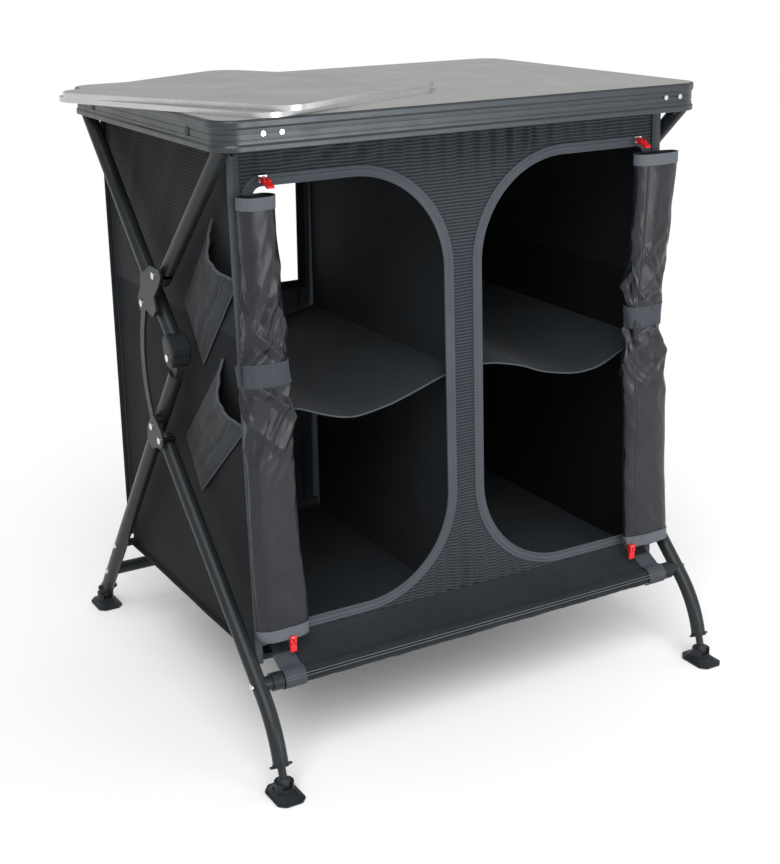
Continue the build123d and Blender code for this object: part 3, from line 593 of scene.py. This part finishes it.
for sx, nm in ((-1, "left"), (1, "right")):
    w = side_wall(sx, "side_wall_" + nm, f"cabinet_{nm}_wall")
    zz = np.linspace(BOT - 1, 768, 120)
    # front corner binding: a flat flange standing a little proud of the wall
    path = np.stack([np.full_like(zz, sx * 309.3) + sx * 0.5 * noise(zz / 70, 0.2, 90 + sx), y_front(zz) + 0.9, zz], -1)
    b = tube_along("corner_binding_front_" + nm, path, (1.9, 5.0), M["tape"], n=12)
    path2 = np.stack([np.full_like(zz, sx * 311.5) + sx * 0.4 * noise(zz / 60, 0.9, 95 + sx), y_front(zz) + 2.6, zz], -1)
    # The left piping takes the lighter hem grey and the right one the tape grey: the lighter left piping is a painted
    # highlight on the lit side.
    b2 = tube_along("corner_piping_front_" + nm, path2, 1.7, M["hem"] if sx < 0 else M["tape"], n=10)
    zb = np.linspace(145, 768, 100)
    path = np.stack([np.full_like(zb, sx * 308.6), y_back(zb) + 0.4, zb], -1)
    b3 = tube_along("corner_binding_back_" + nm, path, (1.6, 4.4), M["fabric"], n=12)
    ys = np.linspace(FB + 1, 222, 60)
    hemline = tube_along("wall_hem_" + nm, np.stack([np.full_like(ys, sx * 307.2), ys, BOT + 1.0 + 0.6 * noise(ys / 30, 0.1, 4)], -1), (3.6, 1.5), M["fabric"], n=10)

# vertical strips of plain tape beside the doors on the front
for sx, nm in ((-1, "left"), (1, "right")):
    zs = np.linspace(150.5, 781, 120)
    xs = np.linspace(299.5, 307.0, 6)
    Xs, Zs = np.meshgrid(xs, zs, indexing="ij")
    Ys = y_front(Zs) - 0.35 + 0.25 * noise(Zs / 40.0, Xs / 9.0, 6)
    st = sheet("front_edge_strip_" + nm, np.stack([sx * Xs, Ys, Zs], -1), M["strap"], solid=0.5)

# ----------------------------------------------------------------- back wall


def back_wall():
    xs, zs = np.linspace(-307, 307, 206), np.linspace(139, 783, 215)
    X, Z = np.meshgrid(xs, zs, indexing="ij")
    x0, x1, z0, z1 = -131.0, -21.0, 496.0, 656.0
    for a in (x0, x1):
        X = np.where(np.abs(X - a) < 1.6, a, X)
    for a in (z0, z1):
        Z = np.where(np.abs(Z - a) < 1.6, a, Z)
    xc, zc = (X[:-1, :-1] + X[1:, 1:]) / 2, (Z[:-1, :-1] + Z[1:, 1:]) / 2
    keep = ~((xc > x0) & (xc < x1) & (zc > z0) & (zc < z1))
    d = 4.6 * np.sin(2 * np.pi * (X + 0.12 * (700 - Z)) / 78.0 + 2.0 * noise(X / 120.0, 0.4, 12)) * ease(250, 640, Z) + 2.4 * fbm(X / 110.0, Z / 260.0, 14)
    win = np.maximum(np.abs(X - (x0 + x1) / 2) - (x1 - x0) / 2, np.abs(Z - (z0 + z1) / 2) - (z1 - z0) / 2)
    d = d * ease(0, 60, win) * ease(307, 290, np.abs(X)) * ease(783, 765, Z)
    d = np.where(d < 0, d * (0.1 + 0.9 * ease(4, 34, np.abs(X))), d)
    Y = y_back(Z) - 2.0 + np.clip(d, -6, 3.2)
    return sheet("back_panel", np.stack([X, Y, Z], -1), M["back"], keep=keep, stands_for=["cabinet_back_wall"], flip=True)


bk = back_wall()


def frame_strip(name, x0, x1, z0, z1, w, yf, mat):
    """Flat binding round a rectangle, standing off the wall on both sides."""
    out, inn, k = [], [], []
    per = [(x0, z0), (x1, z0), (x1, z1), (x0, z1)]
    c = np.array([(x0 + x1) / 2, (z0 + z1) / 2])
    rows = []
    for gx, gy in ((-1.0, 1.3), (-1.2, -1.3), (w, -1.5), (w + 0.4, 0.0), (w, 1.5)):
        ring = []
        for (px, pz) in per:
            sx_, sz_ = np.sign(px - c[0]), np.sign(pz - c[1])
            X, Z = px + sx_ * gx, pz + sz_ * gx
            ring.append((X, yf(Z) + gy, Z))
        rows.append(ring)
    R = np.array(rows).transpose(1, 0, 2)
    return sheet(name, R, mat, close_u=True, close_v=True, smooth=False)


wb = frame_strip("window_binding", -131.0, -21.0, 496.0, 656.0, 11.0, lambda z: y_back(z) - 2.0, M["fabric"])

# ------------------------------------------------------- divider and floor
u, v = np.meshgrid(np.linspace(0, 1, 90), np.linspace(0, 1, 120), indexing="ij")
Z = BOT - 3 + (TOP - BOT + 3) * v
ya, yb = FT + (FB - FT) * (TOP - Z) / (TOP - BOT) + 5.0, np.minimum(y_back(Z) - 4.0, 213.0)
Y = ya + (yb - ya) * u
X = 2.2 * fbm(Y / 130.0, Z / 170.0, 33) * np.minimum(ease(0, .1, u), ease(1, .9, u)) * np.minimum(ease(0, .05, v), ease(1, .95, v))
dv = sheet("middle_wall", np.stack([X, Y, Z], -1), M["inner"], stands_for=["cabinet_divider"])
yy = np.linspace(0, 1, 2)
zz = np.linspace(BOT + 1, 778, 80)
tube_along("middle_wall_edge", np.stack([0 * zz, FT + (FB - FT) * (TOP - zz) / (TOP - BOT) + 5.0, zz], -1), (1.5, 2.6), M["fabric"], n=8)

X, Y = np.meshgrid(np.linspace(-306.3, 306.3, 220), np.linspace(FB - 0.5, 219, 110), indexing="ij")
Z = BOT - 1.6 + 1.2 * fbm(X / 90.0, Y / 90.0, 44) + 9.0 * ease(301.5, 306.3, np.abs(X)) + 7.0 * ease(213.5, 219, Y) + 12.0 * ease(FB + 5, FB - 0.5, Y)
fl = sheet("cabinet_base", np.stack([X, Y, Z], -1), M["inner"], stands_for=["cabinet_floor"])
xs = np.linspace(-305.0, 305.0, 240)
Ta = np.linspace(0, 2 * np.pi, 27)[None]
Xa = xs[:, None] + 0 * Ta
rr = 6.7 + 0.35 * noise(Xa / 24.0, np.cos(Ta) * 1.5, 75)
hs = sheet("rear_hem_sleeve", np.stack([Xa, 222.5 + rr * np.cos(Ta), 134.66 + rr * np.sin(Ta)], -1), M["back"], body="rear_legs")

# -------------------------------------------------------------------- shelves
SAG = {
    -1: [(2, 456), (22, 451), (60, 440), (100, 429), (132, 423), (165, 422), (190, 428), (240, 445), (275, 452), (305, 456)],
    1: [(2, 458), (39, 457), (96, 447), (129, 435), (176, 422), (205, 420), (246, 429), (262, 437), (285, 448), (305, 456)],
}
for sx, nm in ((-1, "left"), (1, "right")):
    nx, ny = 110, 120
    a, b = np.meshgrid(np.linspace(0, 1, nx), np.linspace(0, 1, ny), indexing="ij")
    AX = 2.0 + 300.0 * a
    Yp = -192.0 + (213.0 + 192.0) * b
    flatter = 1 - 0.30 * ease(0.2, 1.0, b)
    Zp = 456 + (table(AX, SAG[sx]) - 456) * flatter
    d = 2.0 * fbm(AX / 60.0, Yp / 110.0, 50 + sx) + 1.6 * crease(AX / 75.0 + 2, Yp / 130.0, 52 + sx) * 0.5
    # pulls that fan out of the fixed corners
    d = d + 1.4 * np.sin(np.arctan2(Yp + 192, AX - 2) * 22) * np.exp(-np.hypot(AX - 2, (Yp + 192) * 0.7) / 60)
    d = d + 1.4 * np.sin(np.arctan2(Yp + 192, 305.2 - AX) * 22) * np.exp(-np.hypot(305.2 - AX, (Yp + 192) * 0.7) / 60)
    edge = np.minimum(ease(0, 0.05, a), ease(1, 0.95, a))
    Zp = Zp + d * edge
    Zp = Zp - 5.0 * (1 - ease(0, 0.05, b)) * np.sin(np.pi * a) * 0.4
    P = np.stack([sx * AX, Yp, Zp], -1)
    s = sheet("hanging_shelf_" + nm, P, M["shelf"], flip=sx < 0, solid=0.6, stands_for=["shelf_" + nm])
    tube_along("shelf_hem_" + nm, P[:, 0] + np.array([0, -0.4, 0.0]), (1.5, 1.15), M["tape"], n=8)

# --------------------------------------------------------------- rolled doors
ROLL = {
    -1: dict(lo=165.0, hi=711.0, strap=505.0,
             out=[(165, -312), (175, -317), (190, -317), (275, -319), (352, -319), (427, -319), (479, -319), (505, -318), (525, -317), (548, -315), (594, -311), (652, -310), (711, -310)],
             inn=[(165, -250), (182, -249), (295, -254), (380, -257), (427, -257), (479, -256), (512, -258), (559, -259), (594, -260), (608, -261), (652, -263), (672, -265), (711, -265)],
             dep=[(165, 10.5), (300, 11.0), (430, 12.5), (505, 13.0), (600, 15.0), (711, 15.5)]),
    1: dict(lo=163.0, hi=710.0, strap=496.0,
            out=[(163, 327), (193, 326), (277, 322), (363, 319), (385, 318), (421, 314), (440, 310), (470, 304), (497, 305), (520, 307), (560, 311), (606, 318), (651, 321), (687, 326), (710, 327)],
            inn=[(163, 256), (178, 252), (193, 251), (277, 248), (363, 248), (400, 244), (432, 241), (455, 245), (478, 249), (507, 248), (585, 253), (606, 254), (651, 258), (710, 259)],
            dep=[(163, 10.0), (300, 10.5), (430, 12.5), (496, 13.0), (600, 12.5), (710, 12.0)]),
}


def roll_skin(sx, z, th, extra=0.0, creased=1.0):
    """Point on the rolled door at height z and angle th; th 0 faces outward in x, -pi/2 to the front."""
    R = ROLL[sx]
    xo, xi, ry = table(z, R["out"]), table(z, R["inn"]), table(z, R["dep"])
    cx, rx = (xo + xi) / 2, np.abs(xo - xi) / 2
    n = 2.35
    c, s = np.cos(th), np.sin(th)
    k = (np.abs(c) ** n + np.abs(s) ** n) ** (-1 / n)
    ex, ey = c * k, s * k
    dz = z - R["strap"]
    near = np.exp(-(dz / 72.0) ** 2)
    pinch = 1.0 - 0.045 * np.exp(-(dz / 16.0) ** 2)
    # diamond folds by the strap, long soft ones elsewhere
    a1 = np.abs(np.sin(1.5 * th + dz / 24.0 + 0.5 * np.sin(dz / 17.0)))
    a2 = np.abs(np.sin(1.5 * th - dz / 19.0 + 1.1))
    dia = (np.maximum(1 - 1.5 * a1, 0) + np.maximum(1 - 1.5 * a2, 0) - 0.35) * near * np.clip((np.abs(dz) - 12.0) / 14.0, 0, 1)
    # angle coordinates that wrap round
    ca, sa = np.cos(th) * 1.3, np.sin(th) * 1.3
    cr = crease(ca + z / 46.0, sa - z / 61.0, 7 + sx)
    soft = fbm(ca + 3.1, sa + z / 120.0, 19 + sx, 2)
    d = creased * (7.0 * dia + 4.6 * (cr - 0.35) * (0.10 + 0.90 * np.exp(-(dz / 85.0) ** 2)) + 1.5 * soft)
    # free edge of the outer layer
    seam = (th - (-2.2 if sx > 0 else -0.9)) % (2 * np.pi)
    step = 1.1 * (1 - ease(0.0, 0.10, seam)) * ease(0, 0.001, seam) + 0.9 * ease(2 * np.pi - 0.9, 2 * np.pi, seam)
    r = extra + d + step
    x = cx + sx * (rx * pinch) * ex + sx * r * c
    y = ry * ey + r * s
    fits = y_front(z) - 2.6 - 14.2
    y = np.minimum(fits + y, y_front(z) - 2.2)
    return np.stack([x, y, z + 0 * th], -1)


for sx, nm in ((-1, "left"), (1, "right")):
    R = ROLL[sx]
    th = np.linspace(-np.pi, np.pi, 150, endpoint=False)
    start = -2.2 if sx > 0 else -0.9
    # one sheet rolled up: an outer turn and almost two inner ones
    tt = np.concatenate([np.linspace(0, 2 * np.pi, 180), 2 * np.pi + np.linspace(0, 3.6 * np.pi, 120)[1:]])
    zs = np.linspace(R["lo"], R["hi"], 300)
    Tm, Zm = np.meshgrid(tt, zs, indexing="ij")
    turn = np.clip((Tm - 2 * np.pi) / (3.6 * np.pi), 0, 1)
    shrink = 1 - 0.86 * turn - 0.07 * ease(0, 0.05, turn)
    P = roll_skin(sx, Zm, (Tm + start + np.pi) % (2 * np.pi) - np.pi, 0.0, 1.0 - 0.6 * ease(0, 0.1, turn))
    mid = np.stack([(table(Zm, R["out"]) + table(Zm, R["inn"])) / 2, y_front(Zm) - 16.8, Zm], -1)
    P = mid + (P - mid) * shrink[..., None]
    P[..., 2] = Zm + 1.0 * np.sin(Tm * 0.7) * turn
    r = sheet("rolled_door_" + nm, P, M["roll"], flip=sx > 0, stands_for=["door_roll_" + nm])
    # end bands
    for end, z0, z1 in (("bottom", R["lo"] - 0.6, R["lo"] + 16.0), ("top", R["hi"] - 14.0, R["hi"] + 0.6)):
        zr = np.linspace(z0, z1, 9)
        Tb, Zb = np.meshgrid(th, zr, indexing="ij")
        Zc = np.clip(Zb, R["lo"], R["hi"])
        band = roll_skin(sx, Zc, Tb, 0.9, 1.0)
        band[..., 2] = Zb
        inner = roll_skin(sx, Zc[:, :1], Tb[:, :1], -0.2, 1.0)
        inner[..., 2] = z1 if end == "top" else z0
        full = np.concatenate([band, inner] if end == "top" else [inner, band], 1)
        bo = sheet(f"roll_band_{end}_{nm}", full, M["hem"], close_u=True, flip=sx > 0)
    # tie strap
    zr = np.concatenate([[R["strap"] - 14.5], np.linspace(R["strap"] - 14.5, R["strap"] + 14.5, 15), [R["strap"] + 14.5]])
    off = np.concatenate([[0.2], np.full(15, 1.7) + 0.5 * np.sin(np.linspace(0, np.pi, 15)), [0.2]])
    Tb, Zb = np.meshgrid(th, zr, indexing="ij")
    band = roll_skin(sx, Zb, Tb, 0.0, 0.25)
    flatd = np.stack([np.cos(Tb) * sx, np.sin(Tb), 0 * Tb], -1) * off[None, :, None]
    band = band + flatd
    band[..., 2] = Zb + 0.9 * np.sin(Tb * 1.0 + 0.7)
    band[..., 1] = np.minimum(band[..., 1], y_front(Zb) - 1.4)
    so = sheet("tie_strap_" + nm, band, M["strap"], close_u=True, flip=sx > 0, stands_for=["roll_straps"])

# loose tail of the left strap, standing off the roll
t, w = np.meshgrid(np.linspace(0, 1, 16), np.linspace(0, 1, 12), indexing="ij")
tx = -316.0 - 13.0 * t + 3.0 * t * (1 - w)
ty = -221.0 - 9.0 * t ** 1.3
tz = 505.0 + (w - 0.5) * (29.0 - 3.0 * t) + 3.0 * t + 0.8 * np.sin(5 * t)
tail = sheet("tie_strap_tail_left", np.stack([tx, ty, tz], -1), M["strap"], solid=1.3)

# --------------------------------------------- sleeve, apron and corner tabs
cy, cz = FRONT_TUBE
xs = np.linspace(-300, 300, 320)
th = np.linspace(0, 2 * np.pi, 41)
Xa, Ta = np.meshgrid(xs, th, indexing="ij")
rr = 10.9 + 0.45 * noise(Xa / 26.0, np.cos(Ta) * 1.5, 71) + 0.35 * noise(Xa / 9.0, np.sin(Ta) * 2.0, 72)
rr = rr + 0.9 * bump_at((Ta - np.radians(168) + np.pi) % (2 * np.pi) - np.pi, 0, 0.045) + 0.9 * bump_at((Ta - np.radians(150) + np.pi) % (2 * np.pi) - np.pi, 0, 0.045)
P = np.stack([Xa, cy + rr * np.cos(Ta), cz + rr * np.sin(Ta)], -1)
sl = sheet("tube_sleeve", P, M["fabric"], body="front_legs", stands_for=["front_tube_sleeve"], flip=True)
for deg, nm in ((168, "a"), (152, "b")):
    a = math.radians(deg)
    tube_along("sleeve_stitch_" + nm, np.stack([xs, cy + 12.5 * math.cos(a) + 0 * xs, cz + 12.5 * math.sin(a) + 0 * xs], -1), 0.6, M["hem"], n=8, body="front_legs")

s, x = np.meshgrid(np.linspace(0, 1, 26), np.linspace(-297, 297, 330), indexing="ij")
a = math.radians(62)
top, low = np.array([y_front(158.0) - 1.0, 158.0]), np.array([cy + 10.1 * math.cos(a), cz + 10.1 * math.sin(a)])
knee = np.array([y_front(149.0) - 1.6, 148.0])
line = (1 - s)[..., None] ** 2 * top + 2 * (s * (1 - s))[..., None] * knee + (s ** 2)[..., None] * low
fold = (0.9 * np.sin(2 * np.pi * x / 21.0 + 2 * noise(x / 60.0, 0.5, 81)) * (1 - s) * s * 3.0 + 0.8 * noise(x / 14.0, s * 2, 82)) * ease(0, .12, s) * ease(1, .88, s)
P = np.stack([x, line[..., 0] - fold * 0.8, line[..., 1] + fold * 0.5], -1)
ap = sheet("bottom_apron", P, M["fabric"], body="front_legs", stands_for=["front_apron"], solid=0.5)
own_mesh(ap)

for sx, nm in ((-1, "left"), (1, "right")):
    ang = np.radians(np.linspace(62, 262, 26))
    ring = np.stack([cy + 12.5 * np.cos(ang), cz + 12.5 * np.sin(ang)], -1)
    t = np.linspace(0.62, 1, 7)[:-1, None]
    up_ = (1 - t) ** 2 * (top + [-1.0, -2.0]) + 2 * t * (1 - t) * (knee + [-1.0, 0.6]) + t ** 2 * ring[0]
    pth = np.concatenate([up_, ring])
    xs2 = np.linspace(270.5, 299.5, 10)
    Q = np.zeros((len(pth), len(xs2), 3))
    Q[..., 0] = sx * xs2[None]
    Q[..., 1] = pth[:, :1] + 0.35 * noise(xs2[None] / 9.0, np.arange(len(pth))[:, None] / 6.0, 5)
    Q[..., 2] = pth[:, 1:]
    tb = sheet("corner_tab_" + nm, Q, M["strap"], body="front_legs", solid=0.9)
    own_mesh(tb)

# --------------------------------------------------------------- side pockets


def pocket(name, A, B, C, D, lift, node):
    """Pouch with its mouth from A to B and its bottom from D to C, standing off the wall."""
    nu, nv = 74, 96
    u, v = np.meshgrid(np.linspace(0, 1, nu), np.linspace(0, 1, nv), indexing="ij")
    A, B, C, D = (np.array(q, float) for q in (A, B, C, D))
    base = ((1 - u) * (1 - v))[..., None] * A + (u * (1 - v))[..., None] * B + (u * v)[..., None] * C + ((1 - u) * v)[..., None] * D
    body = np.sin(np.pi * np.clip(u, 0, 1) ** 1.12) ** 0.75
    h = lift * body * (1 - 0.97 * v ** 1.5)
    # soft folds that hang from the elastic mouth and run out toward the bottom
    lean = u + 0.16 * (v - 0.2) + 0.03 * noise(u * 5, v * 3, 90)
    fold = (np.sin(2 * np.pi * lean * 3.1 + 0.8) + 0.6 * np.sin(2 * np.pi * lean * 6.7 + 2.1)) * (0.25 + 0.75 * ease(0.0, 0.3, v))
    h = h + 2.6 * fold * np.exp(-v / 0.5) * body
    h = h + 3.0 * fbm(u * 2.6 + 1, v * 2.9, 91, 3) * body + 3.2 * (crease(u * 1.9 + v * 1.3, v * 2.4 - u, 92) - 0.4) * body * ease(1.02, 0.7, v)
    # small uneven gathers in the mouth, closer together at its lower end
    m = np.exp(-v / 0.05)
    run = 2 * np.pi * (7.0 * u + 7.0 * u ** 3)
    ruffle = np.sin(run + 1.8 * noise(u * 7, 0.3, 93)) * (0.35 + 0.9 * ease(0.55, 0.95, u)) * (0.7 + 0.5 * noise(u * 11, 1.3, 95))
    h = h - 1.2 * m * body + 0.35 * ruffle * m * ease(0, 0.08, u)
    f = (C - B) / np.linalg.norm(C - B)
    g = (D - A) / np.linalg.norm(D - A)
    down = (1 - u)[..., None] * g + u[..., None] * f
    sag = 19.0 * np.sin(np.pi * np.clip(u, 0, 1) ** 0.85) * (1 - v) ** 2
    base = base + down * (sag + 0.10 * ruffle * m)[..., None]
    X = -(CAB_X + 0.3 + np.maximum(h, 0.0))
    P = np.stack([X, base[..., 0], base[..., 1]], -1)
    o = sheet(name, P, M["pocket"], stands_for=[node], solid=0.7)
    edge = P[:, 0] + np.array([-0.2, 0, 0.3])
    wob = 1 + 0.10 * ruffle[:, 0]
    tube_along(name + "_elastic", edge, 1.75, M["tape"], n=8, wob=wob)
    k = int(0.82 * (nu - 1))
    tube_along(name + "_ridge", P[k, 2:] + np.array([-0.3, 0, 0]), 0.8, M["tape"], n=6)
    side_seam = P[-1] + np.array([-0.5, 0, 0])
    tube_along(name + "_seam", side_seam, 1.0, M["tape"], n=6)
    return o


pocket("side_pouch_upper", (-140, 675), (-203, 612), (-88, 486), (-38, 556), 16.0, "side_pocket_upper")
pocket("side_pouch_lower", (-150, 507), (-207, 434), (-58, 308), (-14, 370), 16.0, "side_pocket_lower")

# small metal eyelet in the back right corner
th = np.linspace(0, 2 * np.pi, 20, endpoint=False)
ph = np.linspace(0, 2 * np.pi, 10, endpoint=False)
Ta, Pa = np.meshgrid(th, ph, indexing="ij")
rad = 3.4 + 1.1 * np.cos(Pa)
ey = np.stack([302.0 + rad * np.cos(Ta), 205.0 + 1.1 * np.sin(Pa), 452.0 + rad * np.sin(Ta)], -1)
ey = np.stack([304.2 + 0 * Ta - 1.1 * np.sin(Pa), 205.0 + rad * np.cos(Ta), 452.0 + rad * np.sin(Ta)], -1)
sheet("corner_eyelet", ey, M["rivet"], close_u=True, close_v=True)

# give each fabric piece on the frame its own mesh data
for o in SOFT:
    if "side_pouch" in o.name:                 # side pouches
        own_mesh(o)
    elif o.name.endswith("_right") and ("roll" in o.name or "tie_strap" in o.name):    # right roll and right tie strap
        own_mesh(o)
    else:
        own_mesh(o)

# ------------------------------------------------------------ floor and light
scene = bpy.context.scene
scene.view_settings.view_transform = "Standard"
bpy.ops.mesh.primitive_plane_add(size=90, location=(0, 0, -0.0005))
floor = bpy.context.object
floor.name = "studio_floor"
q = Mat("studio_floor_paint", (0.93, 0.93, 0.93), 0.8, spec=0.1)
q.bump(q.noise(60, 3), 0.05, 0.1)
floor.data.materials.append(q.m)

world = bpy.data.worlds.new("studio") if not scene.world else scene.world
scene.world = world
world.use_nodes = True
bg = next((n for n in world.node_tree.nodes if n.type == "BACKGROUND"), None) or world.node_tree.nodes.new("ShaderNodeBackground")
bg.inputs[0].default_value = (1.0, 1.0, 1.0, 1)
bg.inputs[1].default_value = 0.60


def area(name, loc, target, size, power, color=(1, 1, 1)):
    l = bpy.data.lights.new(name, "AREA")
    l.shape, l.size, l.size_y, l.energy, l.color = "RECTANGLE", size[0], size[1], power, color
    o = bpy.data.objects.new(name, l)
    scene.collection.objects.link(o)
    o.location = loc
    o.rotation_mode = "QUATERNION"
    o.rotation_quaternion = (Vector(target) - Vector(loc)).to_track_quat("-Z", "Y")
    return o


sun = bpy.data.lights.new("soft_sun", "SUN")
sun.energy, sun.angle = 2.15, math.radians(48)
so_ = bpy.data.objects.new("soft_sun", sun)
scene.collection.objects.link(so_)
so_.rotation_mode = "QUATERNION"
so_.rotation_quaternion = Vector((0.36, 0.60, -0.80)).to_track_quat("-Z", "Y")
area("front_fill", (0.7, -2.9, 0.75), (0, 0, 0.4), (1.4, 1.0), 27)
area("rim_right", (2.6, -0.8, 1.2), (0, 0, 0.5), (1.0, 1.8), 6)

cam = bpy.data.cameras.new("camera")
co = bpy.data.objects.new("camera", cam)
scene.collection.objects.link(co)
scene.camera = co
yaw, pitch, roll = math.radians(29.92), math.radians(18.91), math.radians(-0.93)
f = Vector((math.sin(yaw) * math.cos(pitch), math.cos(yaw) * math.cos(pitch), -math.sin(pitch)))
r = f.cross(Vector((0, 0, 1))).normalized()
u = r.cross(f)
r2 = math.cos(roll) * r + math.sin(roll) * u
u2 = -math.sin(roll) * r + math.cos(roll) * u
rot = Matrix((r2, u2, -f)).transposed()
co.matrix_world = Matrix.Translation((-0.989, -1.729, 0.996)) @ rot.to_4x4()
cam.sensor_fit = "AUTO"
cam.sensor_width = 36.0
cam.lens = 1474.0 * 36.0 / 864.0
cam.shift_x = 1.0 / 864.0
cam.clip_start, cam.clip_end = 0.05, 40.0
cam.dof.use_dof = False
